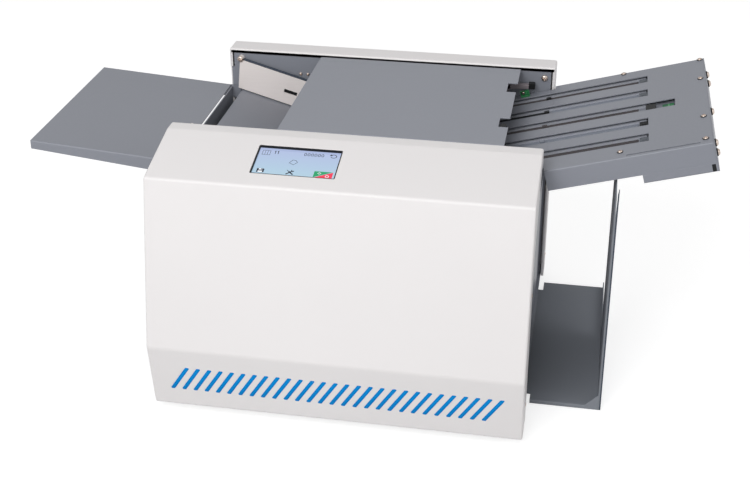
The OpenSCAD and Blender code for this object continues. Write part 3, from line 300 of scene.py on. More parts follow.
# Dark slate edge: painted shade, as the strip on the tray's front flange and the band above the rear guide's
# top
darkShadeEdge = mouldedPlastic("slateRubberEdge", "#454D59", "#3E4651", 0.7, 900, 0.2)
gearNylon = mouldedPlastic("darkNylon", "#3A3D42", "#33363A", 0.5)
padGrey = mouldedPlastic("greyNylon", "#5B6068", "#53585F", 0.5)
cork = corkPad("corkFriction")
motorPaint = powderCoat("motorEnamel", "#26282B", "#1E2022", 0.35)
supplyCase = zincPlate("supplyCaseZinc", "#A9ADB1", "#93979B", 90)
capacitorSleeve = mouldedPlastic("redSleeve", "#8E3427", "#7E2C20", 0.35)
boardGreen = circuitBoard("solderMaskGreen")
display = litDisplay("litDisplay", "#B9C6EC", "#BADDEC")
print("materials made:", len(bpy.data.materials))


# Shared ways of making pieces

def cleanMesh(piece, sharpness=35):
    piece.data.shade_smooth()
    piece.data.set_sharp_from_angle(angle=math.radians(sharpness))
    return piece


# Fixes what the piece's modifiers make as a plain mesh
def settle(piece):
    seen = bpy.context.evaluated_depsgraph_get()
    mesh = bpy.data.meshes.new_from_object(piece.evaluated_get(seen), depsgraph=seen)
    piece.modifiers.clear()
    piece.data = mesh
    mesh.name = piece.name
    return piece


def standData(name, data, materials=()):
    piece = bpy.data.objects.new(name, data)
    bpy.context.scene.collection.objects.link(piece)
    for material in materials:
        data.materials.append(material)
    return piece


# Stands a drawn shape in the scene, its faces turned as they are
def standPiece(name, bm, materials):
    mesh = bpy.data.meshes.new(name)
    bm.to_mesh(mesh)
    bm.free()
    return standData(name, mesh, materials)


# Loose points, which a tree sets things on
def standPoints(name, points):
    mesh = bpy.data.meshes.new(name)
    mesh.from_pydata(points, [], [])
    return standData(name, mesh)


def newPiece(name, bm, materials):
    bmesh.ops.recalc_face_normals(bm, faces=bm.faces)
    return cleanMesh(standPiece(name, bm, materials))


def dropObjects(*tools):
    for tool in tools:
        bpy.data.objects.remove(tool)


def attach(piece, body, slot, *nodes):
    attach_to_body(piece, body)
    if nodes:
        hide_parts(*nodes)
    return piece


# Joins several pieces into the first one
def merge(first, *others):
    bm = bmesh.new()
    for piece in (first, *others):
        bm.from_mesh(piece.data)
    bm.to_mesh(first.data)
    bm.free()
    dropObjects(*others)
    return first


# Closed skin over a stack of rings of points
def addSkin(bm, stack, material=0):
    rings = [[bm.verts.new(point) for point in ring] for ring in stack]
    faces = [bm.faces.new(rings[0][::-1]), bm.faces.new(rings[-1])]
    for below, above in zip(rings, rings[1:]):
        for i in range(len(below)):
            j = (i + 1) % len(below)
            faces.append(bm.faces.new((below[i], below[j], above[j], above[i])))
    for face in faces:
        face.material_index = material


# Closed plate between two heights of a drawing plane, from an outline in millimetres
def addPlate(bm, outline, low, high, plane, material=0):
    addSkin(bm, [[plane @ (Vector((x, y, h)) * mm) for x, y in outline] for h in (low, high)], material)


# Piece of one or more plates on a plane, each given as outline, low, high and its material's number
def platePiece(name, plates, plane, materials):
    bm = bmesh.new()
    for outline, low, high, *material in plates:
        addPlate(bm, outline, low, high, plane, *material)
    return newPiece(name, bm, materials)


# Solid of revolution about the z axis, from (radius, height) points
def addTurned(bm, profile, count, scale=mm):
    addSkin(bm, [[Vector((x, y, h)) * scale for x, y in circle(0, 0, r, count)] for r, h in profile])


# Cuts outlines through a piece, between two heights of a plane
def cutPlates(piece, outlines, low, high, plane):
    tool = platePiece("cutTool", [(outline, low, high) for outline in outlines], plane,
                      piece.data.materials[:1])
    cut = piece.modifiers.new("cut", "BOOLEAN")
    cut.operation = "DIFFERENCE"
    cut.object = tool
    settle(piece)
    dropObjects(tool)


def thicken(piece, thick):
    sheet = piece.modifiers.new("sheet", "SOLIDIFY")
    sheet.thickness = thick * mm
    sheet.offset = -1
    sheet.use_even_offset = True
    return settle(piece)


# Keeps the flats flat in the shading of rounded edges
def finishEdges(piece):
    cleanMesh(piece, 40)
    piece.modifiers.new("flats", "WEIGHTED_NORMAL").keep_sharp = True
    return settle(piece)


def addBevel(piece, method, width, segments):
    ease = piece.modifiers.new("ease", "BEVEL")
    ease.limit_method = method
    ease.width = width * mm
    ease.segments = segments
    ease.use_clamp_overlap = False
    return ease


def easeRims(piece, width):
    addBevel(piece, "ANGLE", width, 2).angle_limit = math.radians(60)
    return finishEdges(piece)


# A plane turned about its x, so that its y stands up and heights on it count to the front
def sideways(plane):
    return plane @ Matrix.Rotation(math.radians(90), 4, "X")


# Points of an arc at angles in degrees; tall is its radius in y where that differs
def arc(cx, cy, r, angles, tall=None):
    return [(cx + r * math.cos(math.radians(a)), cy + (tall or r) * math.sin(math.radians(a)))
            for a in angles]


def rectangle(x0, x1, y0, y1, r=0, steps=4):
    if r == 0:
        return [(x0, y0), (x1, y0), (x1, y1), (x0, y1)]
    centres = [(x1 - r, y0 + r, -90), (x1 - r, y1 - r, 0), (x0 + r, y1 - r, 90), (x0 + r, y0 + r, 180)]
    return [point for cx, cy, a in centres
            for point in arc(cx, cy, r, [a + 90 * k / steps for k in range(steps + 1)])]


def circle(cx, cy, r, count=24):
    return [(cx + r * math.cos(2 * math.pi * k / count), cy + r * math.sin(2 * math.pi * k / count))
            for k in range(count)]


# Path whose corners are rounded, as a press brake leaves them
def roundedPath(corners, radii, steps=7):
    path = [Vector(corners[0])]
    for before, here, after, r in zip(corners, corners[1:], corners[2:], radii):
        a = (Vector(before) - Vector(here)).normalized()
        b = (Vector(after) - Vector(here)).normalized()
        half = math.acos(max(-1, min(1, a.dot(b)))) / 2
        centre = Vector(here) + (a + b).normalized() * r / math.sin(half)
        start = Vector(here) + a * r / math.tan(half) - centre
        end = Vector(here) + b * r / math.tan(half) - centre
        sweep = math.atan2(start.x * end.y - start.y * end.x, start.dot(end))
        for k in range(steps + 1):
            c, s = math.cos(sweep * k / steps), math.sin(sweep * k / steps)
            path.append(centre + Vector((start.x * c - start.y * s, start.x * s + start.y * c)))
    path.append(Vector(corners[-1]))
    return path


# Draws a part again with rounded bends and eased rims, in place of its node. bends gives two planes
# of the drawing, as (axis, value) each, and the radius of the edge where they meet; rim is for all
# other edges, and rimless picks edges that stay sharp. pick chooses a material for each face by its
# middle, in the drawing's millimetres.
def redraw(node, body, slot, materials, bends=(), rim=0.25, plane=upright, pick=None, rimless=None,
           steps=2):
    bm = bmesh.new()
    bm.from_mesh(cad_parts[node].data)
    bmesh.ops.remove_doubles(bm, verts=bm.verts, dist=2e-6)
    bmesh.ops.dissolve_limit(bm, angle_limit=math.radians(0.4), verts=bm.verts, edges=bm.edges)
    inverse = plane.inverted()
    widest = max([rim] + [radius for first, second, radius in bends])
    weight = bm.edges.layers.float.new("bevel_weight_edge")
    for edge in bm.edges:
        if len(edge.link_faces) != 2:
            continue
        ends = [inverse @ vert.co / mm for vert in edge.verts]
        width = rim if edge.calc_face_angle(0) > math.radians(38) else 0
        if rimless and rimless((ends[0] + ends[1]) / 2):
            width = 0
        for first, second, radius in bends:
            if all(abs(end[axis] - value) < 0.08 for end in ends for axis, value in (first, second)):
                width = radius
        edge[weight] = width / max(widest, 0.001)
    if pick:
        for face in bm.faces:
            face.material_index = pick(inverse @ face.calc_center_median() / mm)
    first, *others = node.split("_")
    piece = standPiece(first + "".join(word.title() for word in others), bm, materials)
    if widest > 0:
        addBevel(piece, "WEIGHT", widest, steps).miter_outer = "MITER_ARC"
    attach(finishEdges(piece), body, slot, node)


# Geometry Nodes tree with named inputs; each input is (name, kind, value)
def startTree(name, sockets):
    tree = bpy.data.node_groups.new(name, "GeometryNodeTree")
    tree.interface.new_socket("Geometry", in_out="INPUT", socket_type="NodeSocketGeometry")
    for label, kind, value in sockets:
        socket = tree.interface.new_socket(label, in_out="INPUT", socket_type="NodeSocket" + kind)
        if value is not None:
            socket.default_value = value
    tree.interface.new_socket("Geometry", in_out="OUTPUT", socket_type="NodeSocketGeometry")
    return tree, addNode(tree, "NodeGroupInput").outputs


def endTree(tree, geometry, material):
    whole = addNode(tree, "GeometryNodeRealizeInstances", {}, {0: geometry})
    painted = addNode(tree, "GeometryNodeSetMaterial", {}, {0: whole.outputs[0], "Material": material})
    addNode(tree, "NodeGroupOutput", {}, {0: painted.outputs[0]})


# Copies of an object on points, with more linked inputs where they are turned or sized
def setCopies(tree, points, tool, **more):
    shape = addNode(tree, "GeometryNodeObjectInfo", {"transform_space": "ORIGINAL"}, {0: tool})
    return addNode(tree, "GeometryNodeInstanceOnPoints", {}, {
        "Points": points, "Instance": shape.outputs["Geometry"], **more}).outputs[0]


# Runs a tree on a piece and keeps its plain mesh
def grow(piece, tree, values):
    modifier = piece.modifiers.new("grow", "NODES")
    modifier.node_group = tree
    for item in tree.interface.items_tree:
        if item.in_out == "INPUT" and item.name in values:
            modifier[item.identifier] = values[item.name]
    return settle(piece)


# Row of copies of a tool, seated on a plane: cut out of the piece, or joined to it. The tool is
# stretched to a length, and the middle copy of an odd row to a length of its own.
def rowTree(name, plane, count, cutting):
    tree, given = startTree(name, [
        ("Tool", "Object", None), ("Count", "Int", count), ("First", "Vector", (0, 0, 0)),
        ("Step", "Vector", (0, 0, 0)), ("Length", "Float", 1.0), ("Middle Length", "Float", 1.0),
        ("Material", "Material", None)])
    row = addNode(tree, "GeometryNodeMeshLine", {"mode": "OFFSET"}, {
        "Count": given["Count"], "Start Location": given["First"], "Offset": given["Step"]})
    index = addNode(tree, "GeometryNodeInputIndex")
    middle = addNode(tree, "ShaderNodeMath", {"operation": "COMPARE", 1: (count - 1) / 2, 2: 0.4},
                     {0: index.outputs[0]})
    length = addNode(tree, "ShaderNodeMapRange", {}, {
        0: middle.outputs[0], 3: given["Length"], 4: given["Middle Length"]})
    size = addNode(tree, "ShaderNodeCombineXYZ", {"Y": 1.0, "Z": 1.0}, {"X": length.outputs[0]})
    copies = setCopies(tree, row.outputs[0], given["Tool"], Scale=size.outputs[0])
    place, tilt, scale = plane.decompose()
    seated = addNode(tree, "GeometryNodeTransform", {
        "Translation": place, "Rotation": tilt.to_euler()}, {0: copies})
    if cutting:
        solid = addNode(tree, "GeometryNodeRealizeInstances", {}, {0: seated.outputs[0]})
        shape = addNode(tree, "GeometryNodeMeshBoolean", {"operation": "DIFFERENCE", "solver": "EXACT"},
                        {0: given["Geometry"], 1: solid.outputs[0]})
    else:
        shape = addNode(tree, "GeometryNodeJoinGeometry", {}, {0: seated.outputs[0]})
        tree.links.new(given["Geometry"], shape.inputs[0])
    endTree(tree, shape.outputs[0], given["Material"])
    return tree


# Front cover, with its slanted vent slots and the blue strip behind them

frontCover = {"width": 450, "thick": 2, "endRadius": 2.6, "rim": 0.3,
              "profile": [(40, 12), (14, 12), (0, 100), (38, 307), (130, 329), (150, 329), (150, 317)],
              "bendRadii": [3.2, 18, 4.5, 9, 3.2],
              "wallFoot": [(150, 310), (128, 310), (58, 230), (58, 12)],
              "screen": (120, 220, 23, 76), "screenCorner": 1.6, "screenReach": 8, "slotReach": 5}
vents = {"count": 28, "pitch": 14, "first": 36.7, "up": 44.05, "width": 4.8, "length": 36,
         "lean": 32, "gap": 0.04, "crown": 0.2, "recess": 0.02, "barFoot": -2.4,
         "plate": (20, 430, 14, 75.1, 3), "plateFoot": -3.5, "plateTop": -2.05}


# Outline of a leaning slot with level ends and rounded corners, drawn in by a gap
def slotOutline(v, gap):
    lean = math.radians(v["lean"])
    r = v["width"] * 0.3 - gap
    up = v["length"] / 2 - gap - r
    across = (v["width"] / 2 - gap - r) / math.cos(lean)
    shift = up * math.tan(lean)
    centres = [(shift + across, up), (across - shift, -up), (-across - shift, -up), (shift - across, up)]
    turns = [90, -v["lean"], -90, -180 - v["lean"], -270]
    return [point for (x, y), a, b in zip(centres, turns, turns[1:])
            for point in arc(x, y, r, [a + (b - a) * k / 5 for k in range(6)])]


# Bar of that outline, standing on its drawing plane at the origin; crown rounds its top
def slotBar(gap, low, high, crown=0):
    levels = [(low, gap), (high - crown, gap), (high, gap + crown)] if crown else [(low, gap), (high, gap)]
    bm = bmesh.new()
    addSkin(bm, [[Vector((x, y, h)) * mm for x, y in slotOutline(vents, inset)] for h, inset in levels])
    return newPiece("slotBar", bm, [ventBlue])


# Runs the row of vents on a piece, with slots to cut out or bars to join
def growVents(piece, bar, material, cutting):
    grow(piece, rowTree(piece.name + "Vents", undercut, vents["count"], cutting), {
        "Tool": bar, "First": Vector((vents["first"], vents["up"], 0)) * mm,
        "Step": Vector((vents["pitch"] * mm, 0, 0)), "Material": material})
    dropObjects(bar)


def makeFrontCover(c):
    path = roundedPath(c["profile"], c["bendRadii"])
    bm = bmesh.new()
    ends = [[bm.verts.new(at(x, y, z)) for y, z in path] for x in (0, c["width"])]
    for i in range(len(path) - 1):
        bm.faces.new((ends[0][i], ends[0][i + 1], ends[1][i + 1], ends[1][i]))
    for x, ring in zip((0, c["width"]), ends):
        bm.faces.new(ring + [bm.verts.new(at(x, y, z)) for y, z in c["wallFoot"]])
    bmesh.ops.recalc_face_normals(bm, faces=bm.faces)
    bent = [e for e in bm.edges if len(e.link_faces) == 2
            and abs(e.verts[0].co.x - e.verts[1].co.x) < 1e-6]
    bmesh.ops.bevel(bm, geom=bent, offset=c["endRadius"] * mm, segments=4, profile=0.5,
                    affect="EDGES", clamp_overlap=False)
    # an open sheet has no inside, so its top faces say whether all are turned outward
    outward = sum((f.normal.z * f.calc_area() for f in bm.faces if f.calc_center_median().z > 0.3), 0)
    if outward < 0:
        bmesh.ops.reverse_faces(bm, faces=bm.faces)
    cover = thicken(standPiece("frontCover", bm, [coverWhite]), c["thick"])
    cutPlates(cover, [rectangle(*c["screen"], c["screenCorner"])], -c["screenReach"], c["screenReach"],
              slant)
    growVents(cover, slotBar(0, -c["slotReach"], c["slotReach"]), coverWhite, True)
    attach(easeRims(cover, c["rim"]), "housing", "cover_white", "front_cover")


def makeVentStrip(v):
    strip = platePiece("ventStrip", [(rectangle(*v["plate"]), v["plateFoot"], v["plateTop"])], undercut,
                       [ventBlue])
    growVents(strip, slotBar(v["gap"], v["barFoot"], -v["recess"], v["crown"]), ventBlue, False)
    attach(cleanMesh(strip, 50), "housing", "vent_blue", "vent_strip")


makeFrontCover(frontCover)
makeVentStrip(vents)
print("front cover and vent strip made")


# Upper fold plate: two bent channels with a row of slots cut by rule

foldTop = {"thick": 1.5, "bend": 1.8, "rim": 0.2,
           "neck": (0, 180.48, 150, 400, 8), "wide": (180.48, 374.5, 142, 411, 26),
           "slots": {"first": 189.2, "pitch": 46.4, "count": 5, "width": 23, "start": 70, "end": 302.5,
                     "middleEnd": 335.5},
           "slit": (276.5, 360.5, 146.5, 149.5, 0.7), "pinHole": (181.98, 182, 1.5), "cutReach": 5,
           "peg": (152.48, -4, 3.95, 32), "pegFeet": (-150, -404), "pegLength": 4,
           "latch": (110.48, 13.2, 386.7, 397.3), "ear": 4, "earFoot": -0.5, "earTop": 17}
foldBase = {"thick": 1.5, "top": -6, "rim": 0.2,
            "outline": [(2, 151.5), (180.98, 151.5), (180.98, 143.5), (372.5, 143.5), (372.5, 409.5),
                        (180.98, 409.5), (180.98, 398.5), (2, 398.5)],
            "slots": {"first": 187.7, "pitch": 46.4, "count": 5, "width": 7, "start": 82, "end": 292.5,
                      "middleEnd": 292.5},
            "rails": (151.5, 396.5), "railTop": -1.55, "bracket": (74, 80, 271.5, 289.5, 1),
            "bracketFoot": -24}


def cutSlots(piece, c):
    half, reach, unit = c["width"] / 2, 12, 1000
    tool = platePiece("slotTool", [(rectangle(0, unit, -half, half), -reach, reach)], Matrix(), [panelGrey])
    grow(piece, rowTree(piece.name + "Slots", foldPlate, c["count"], True), {
        "Tool": tool, "First": Vector((c["start"], c["first"], 0)) * mm,
        "Step": Vector((0, c["pitch"] * mm, 0)), "Length": (c["end"] - c["start"]) * mm,
        "Middle Length": (c["middleEnd"] - c["start"]) * mm, "Material": panelGrey})
    dropObjects(tool)


# Channel bent from sheet: flat top between two flanges that hang down, along the plate's length
def bentChannel(name, sizes, c):
    start, end, front, rear, depth = sizes
    path = roundedPath([(front, -depth), (front, 0), (rear, 0), (rear, -depth)], [c["bend"]] * 2, 5)
    bm = bmesh.new()
    rings = [[bm.verts.new(foldPlate @ (Vector((u, y, w)) * mm)) for y, w in path] for u in (start, end)]
    for i in range(len(path) - 1):
        bm.faces.new((rings[0][i], rings[1][i], rings[1][i + 1], rings[0][i + 1]))
    return thicken(standPiece(name, bm, [panelGrey]), c["thick"])


def makeFoldTop(c):
    neck = bentChannel("foldPlateTop", c["neck"], c)
    wide = bentChannel("widePlate", c["wide"], c)
    cutSlots(neck, c["slots"])
    cutSlots(wide, c["slots"])
    cutPlates(wide, [rectangle(*c["slit"]), circle(*c["pinHole"])], -c["cutReach"], c["cutReach"], foldPlate)
    plate = easeRims(merge(neck, wide), c["rim"])
    u, w, y0, y1 = c["latch"]
    thick = c["thick"]
    ears = [(circle(*c["peg"]), foot, foot + c["pegLength"]) for foot in c["pegFeet"]]
    ears += [(rectangle(u - c["ear"], u + c["ear"], c["earFoot"], c["earTop"], 1.5), -y - thick, -y)
             for y in (y0, y1 - thick)]
    ears.append((circle(u, w, 2), -y1, -y0))
    merge(plate, platePiece("plateEars", ears, sideways(foldPlate), [panelGrey]))
    attach(plate, "housing", "panel_grey", "fold_plate_top")


def makeFoldBase(c):
    under = c["top"] - c["thick"]
    base = platePiece("foldPlateBase", [(c["outline"], under, c["top"])], foldPlate, [panelGrey])
    cutSlots(base, c["slots"])
    rails = [(rectangle(2, 372.5, y, y + 2), c["top"], c["railTop"]) for y in c["rails"]]
    rails.append((rectangle(*c["bracket"]), c["bracketFoot"], under))
    merge(base, platePiece("baseRails", rails, foldPlate, [panelGrey]))
    attach(easeRims(base, c["rim"]), "housing", "panel_grey", "fold_plate_base")


makeFoldTop(foldTop)
makeFoldBase(foldBase)
print("fold plate made")


# Other sheet parts with rounded bends

bendRadius = {"cover": 2.4, "panel": 1.8, "tray": 1.2, "frame": 1}
# Dark strip on the tray's front flange beside its end wall: painted shade of the wall
trayTrim = {"outline": [(537.4, 2), (539, 2), (539, 303.5), (538.6, 304.5), (537.4, 297)],
            "low": -107.6, "high": -104.9, "rim": 0.15}


def makeSheets(r, shadeStrip):
    x, y, z = 0, 1, 2
    cover, panel, tray = r["cover"], r["panel"], r["tray"]
    redraw("rear_cover", "housing", "cover_white", [coverWhite], [
        *(((z, 331), (y, side), cover) for side in (403, 435)),
        *(((x, side), other, cover) for side in (0, 450) for other in ((z, 331), (y, 435), (y, 403)))],
        steps=4)
    redraw("top_cover", "lid", "lid_grey", [lidGrey],
           [((z, 328), (y, side), panel) for side in (151.5, 399.5)], 0.3, steps=3)
    redraw("feed_table", "housing", "panel_grey", [panelGrey],
           [((z, 0), (y, side), panel) for side in (146.5, 403.5)], 0.5, table, steps=3)
    redraw("fold_end_box", "housing", "panel_grey", [panelGrey],
           [((z, -37), (y, side), panel) for side in (142, 411)], 0.3, foldPlate, steps=3)
    redraw("catch_tray", "tray", "panel_grey", [trayGrey],
           [((axis, value), (y, side), tray) for axis, value, rear in ((x, 535, 266), (z, 6, 396))
            for side in (106, rear)], 0.3, steps=3)
    # painted shade: a dark strip on the tray's front flange
    strip = platePiece("trayTrim", [(shadeStrip["outline"], shadeStrip["low"], shadeStrip["high"])], sideways(upright),
                       [darkShadeEdge])
    attach(easeRims(strip, shadeStrip["rim"]), "tray", "black_plastic")
    redraw("rear_frame", "housing", "panel_grey", [panelGrey],
           [((z, 326.5), (y, 404), r["frame"])], 0.3, rimless=lambda p: p.z < 325)
    redraw("lift_plate", "lift_floor", "panel_grey", [panelGrey], rim=0.3, plane=hopper)


makeSheets(bendRadius, trayTrim)
print("sheet parts eased")


# Screws, each a pan head with a cross recess, set by a tree on a list of points. The head's sizes
# count in its own radius.

crossHead = {"profile": [(1, 0), (1, 0.2), (0.95, 0.38), (0.83, 0.52), (0.64, 0.62), (0.4, 0.68)],
             "count": 28, "arm": 0.13, "reach": 0.56, "depth": 0.3, "top": 1}
# endSeat is the thickness of the end plate's washers
washer = {"wider": 0.7, "thick": 0.8, "endSeat": 1.2, "count": 28, "rim": 0.1}
# Each screw is its place and direction in a drawing plane and the radius of its head
frameScrews = [((17.2, 396.5, 318.6), (0, -1, 0), 4.4), ((435.4, 404, 315.5), (0, -1, 0), 4.4),
               ((100.3, 404, 299.3), (0, -1, 0), 2.2), ((110.5, 404, 299.3), (0, -1, 0), 2.2)]
plateScrews = [*(((x, y, 0), (0, 0, 1), 3) for x, y in (
                   (271.5, 407), (269.5, 159), (370.3, 407.8), (368.5, 341.5), (367.2, 220.7),
                   (366.7, 156.1))),
               ((138.5, 389.5, 6.5), (0, -1, 0), 1.8),
               *(((376 + washer["endSeat"], y, w), (1, 0, 0), 3.9) for y, w in (
                   (150, -4.2), (150, -16.3), (242.5, -5), (361, -4.2), (361, -16.3)))]
coverScrews = [((x, 433.7, z), (0, 1, 0), 3) for x in (16, 225, 434) for z in (28, 312)]
coverScrews += [((x, y, z), (side, 0, 0), 3) for x, side in ((1.3, -1), (448.7, 1))
                for y, z in ((48, 40), (48, 190), (418, 40), (418, 290))]


def makeHead(c):
    bm = bmesh.new()
    addTurned(bm, c["profile"], c["count"], 1)
    head = newPiece("screwHead", bm, [screwZinc])
    arm, reach = c["arm"] / mm, c["reach"] / mm
    plus = [(arm, arm), (arm, reach), (-arm, reach), (-arm, arm), (-reach, arm), (-reach, -arm),
            (-arm, -arm), (-arm, -reach), (arm, -reach), (arm, -arm), (reach, -arm), (reach, arm)]
    cutPlates(head, [plus], c["depth"] / mm, c["top"] / mm, Matrix())
    return head


def screwTree():
    tree, given = startTree("panHeads", [("Head", "Object", None), ("Material", "Material", None)])
    axis = addNode(tree, "GeometryNodeInputNamedAttribute", {"data_type": "FLOAT_VECTOR", "Name": "axis"})
    radius = addNode(tree, "GeometryNodeInputNamedAttribute", {"data_type": "FLOAT", "Name": "radius"})
    turn = addNode(tree, "FunctionNodeAlignRotationToVector", {"axis": "Z"}, {"Vector": axis.outputs[0]})
    heads = setCopies(tree, given["Geometry"], given["Head"], Rotation=turn.outputs[0],
                      Scale=radius.outputs[0])
    endTree(tree, heads, given["Material"])
    return tree


def makeScrews(name, rows, tree, head):
    screws = [(plane, place, axis, r) for plane, listed in rows for place, axis, r in listed]
    piece = standPoints(name, [plane @ (Vector(place) * mm) for plane, place, axis, r in screws])
    axes = piece.data.attributes.new("axis", "FLOAT_VECTOR", "POINT")
    for i, (plane, place, axis, r) in enumerate(screws):
        axes.data[i].vector = plane.to_3x3() @ Vector(axis)
    radii = piece.data.attributes.new("radius", "FLOAT", "POINT")
    for i, (plane, place, axis, r) in enumerate(screws):
        radii.data[i].value = r * mm
    return cleanMesh(grow(piece, tree, {"Head": head, "Material": screwZinc}), 30)


# Black washers under the heads: their dark ring is painted shade of the heads' shaded sides
def makeWashers(name, plane, screws, c):
    bm = bmesh.new()
    for place, axis, r in screws:
        turn = Vector(axis).to_track_quat("Z", "Y").to_matrix().to_4x4()
        low, high = (-c["endSeat"], c["thick"] / 2) if axis[0] else (0, c["thick"])
        addPlate(bm, circle(0, 0, r + c["wider"], c["count"]), low, high,
                 plane @ Matrix.Translation(Vector(place) * mm) @ turn)
    return easeRims(newPiece(name, bm, [blackPlastic]), c["rim"])


panHead = makeHead(crossHead)
panHeads = screwTree()
attach(makeWashers("screwWashers", foldPlate, plateScrews, washer), "housing", "zinc_steel")
attach(makeScrews("machineScrews", [(upright, frameScrews), (foldPlate, plateScrews)], panHeads, panHead),
       "housing", "zinc_steel", "machine_screws")
attach(makeScrews("coverScrews", [(upright, coverScrews)], panHeads, panHead), "housing", "zinc_steel")
dropObjects(panHead)
print("screws set")


# Touch screen: lit display and its signs

screen = {"pane": (120.7, 219.3, 23.7, 75.2), "top": -3.5, "thick": 1.5, "left": 120, "head": 76,
          "wide": 100, "tall": 53, "sign": 0.05, "block": (193.4, 215.4, 27.4, 38.8)}
signInk = litSign("displayInk", "#27324C", 0.35)
signPale = litSign("displayPale", "#EDF3FA", 0.9)
signGreen = litSign("displayGreen", "#009B60", 0.9)
signRed = litSign("displayRed", "#EE2B4B", 0.9)


def onScreen(across, down):
    return screen["left"] + screen["wide"] * across, screen["head"] - screen["tall"] * down


# Thin strokes through the points, in millimetres from a sign's middle
def stroke(bm, middle, points, width, material=1, closed=False, lift=0):
    line = list(points) + ([points[0]] if closed else [])
    level = screen["top"] + screen["sign"] + lift
    for (x0, y0), (x1, y1) in zip(line, line[1:]):
        long = math.hypot(x1 - x0, y1 - y0)
        ax, ay = (x1 - x0) / long * width / 2, (y1 - y0) / long * width / 2
        addPlate(bm, [(middle[0] + x, middle[1] + y) for x, y in (
            (x0 - ax + ay, y0 - ay - ax), (x1 + ax + ay, y1 + ay - ax),
            (x1 + ax - ay, y1 + ay + ax), (x0 - ax - ay, y0 - ay + ax))],
            screen["top"] - 0.01, level, slant, material)


def fill(bm, middle, outline, material, lift=0):
    addPlate(bm, [(middle[0] + x, middle[1] + y) for x, y in outline],
             screen["top"] - 0.01, screen["top"] + screen["sign"] + lift, slant, material)


def makeScreen():
    bm = bmesh.new()
    addPlate(bm, rectangle(*screen["pane"], 1), screen["top"] - screen["thick"], screen["top"], slant)
    # three-panel fold sign, job number, counter and restart arrow along the top
    fold = onScreen(0.1, 0.185)
    stroke(bm, fold, [(-4.6, -3.9), (4.6, -3.9), (4.6, 3.9), (-4.6, 3.9)], 0.45, 1, True)
    for x in (-1.5, 1.5):
        stroke(bm, fold, [(x, -3.9), (x, 3.9)], 0.4)
    job = onScreen(0.223, 0.155)
    for x in (-1.6, 1.8):
        stroke(bm, job, [(x - 0.9, 1.4), (x, 2.3), (x, -2.4)], 0.8)
    counter = onScreen(0.668, 0.155)
    for k in range(6):
        x = (k - 2.5) * 4.1
        stroke(bm, counter, arc(x, 0, 1.3, range(15, 375, 30), 2.3), 0.62, 1, True)
    restart = onScreen(0.901, 0.155)
    stroke(bm, restart, arc(0, 0, 3.4, range(150, -151, -20), 2.9), 0.75)
    fill(bm, restart, [(-4.9, 0.4), (-1.4, 1.2), (-3.6, 3.6)], 1)
    # tilted form in the middle
    form = onScreen(0.455, 0.455)
    sheet = [(-4.6, -1.6), (0.9, -4.6), (4.8, 0.2), (2.6, 3.3), (-1.2, 4.2)]
    stroke(bm, form, sheet, 0.55, 1, True)
    # disk, spanner crossed with a driver, and the start and stop block along the foot
    disk = onScreen(0.105, 0.81)
    fill(bm, disk, [(-4.4, -3.6), (4.4, -3.6), (4.4, 2.6), (3.2, 3.6), (-4.4, 3.6)], 1)
    fill(bm, disk, rectangle(-2.6, 2.6, -3.2, -0.6), 2, 0.02)
    fill(bm, disk, rectangle(-2.2, 1.8, 1.1, 3.3), 2, 0.02)
    fill(bm, disk, rectangle(0.4, 1.4, 1.4, 3.0), 1, 0.04)
    tools = onScreen(0.452, 0.805)
    stroke(bm, tools, [(-3.4, -3.2), (2.4, 2.2)], 1.7)
    stroke(bm, tools, [(3.6, -3.2), (-1.0, 1.1)], 1.7)
    stroke(bm, tools, [(-1.0, 1.1), (-3.8, 3.6)], 0.7)
    stroke(bm, tools, [(1.6, 3.9), (1.9, 2.0), (3.6, 1.4), (4.3, 2.9)], 1.0)
    x0, x1, y0, y1 = screen["block"]
    fill(bm, (0, 0), [(x0, y0 + 0.4), (x1 - 0.6, y1), (x0, y1)], 3)
    fill(bm, (0, 0), [(x0 + 0.6, y0), (x1, y0), (x1, y1 - 0.4)], 4)
    stroke(bm, (199.6, 35.4), [(-1.9, 0), (0, -1.6), (1.9, 0), (0, 1.6)], 0.55, 2, True, 0.03)
    stroke(bm, (209.4, 30.8), arc(0, 0, 2, range(0, 360, 30), 1.7), 0.7, 2, True, 0.03)
    attach(newPiece("touchDisplay", bm, [display, signInk, signPale, signGreen, signRed]),
           "housing", "display_glass", "screen_glass")


makeScreen()
print("touch screen made")


# Rubber feet, one turned profile set on four points by a tree

feet = {"places": [(40, 70), (410, 70), (40, 407), (410, 407)], "count": 40, "profile": [
    (4.2, 2.6), (4.6, 2.2), (4.8, 0.5), (5.4, 0), (9.3, 0), (10, 0.5), (10.4, 2.5), (10.7, 3),
    (10.7, 4), (10.4, 4.4), (10.6, 7), (11, 7.6), (11, 12)]}


def makeFeet(c):
    bm = bmesh.new()
    addTurned(bm, c["profile"], c["count"])
    foot = newPiece("footTool", bm, [footRubber])
    tree, given = startTree("feetOnPoints", [("Foot", "Object", None), ("Material", "Material", None)])
    endTree(tree, setCopies(tree, given["Geometry"], given["Foot"]), given["Material"])
    piece = standPoints("rubberFeet", [at(x, y, 0) for x, y in c["places"]])
    grow(piece, tree, {"Foot": foot, "Material": footRubber})
    dropObjects(foot)
    attach(cleanMesh(piece, 30), "housing", "foot_rubber", "rubber_feet")


makeFeet(feet)
print("feet made")


# Hopper: guides with their sensor window

hopperParts = {"window": (75, 93.8, 17.2, 22.4), "windowDepths": (-401, -394), "near": 396.5, "far": 398,
               "frame": 404, "foot": (12.2, 137.7, 1.5), "head": 43, "ear": (5.2, 44.25, 4),
               "posts": [(24, 18), (117.7, 18), (5.2, 44.25)], "postRadius": 3.9,
               "edge": (9.5, 137.7, 42.9, 45.6), "rim": 0.2, "sensorRim": 0.15}


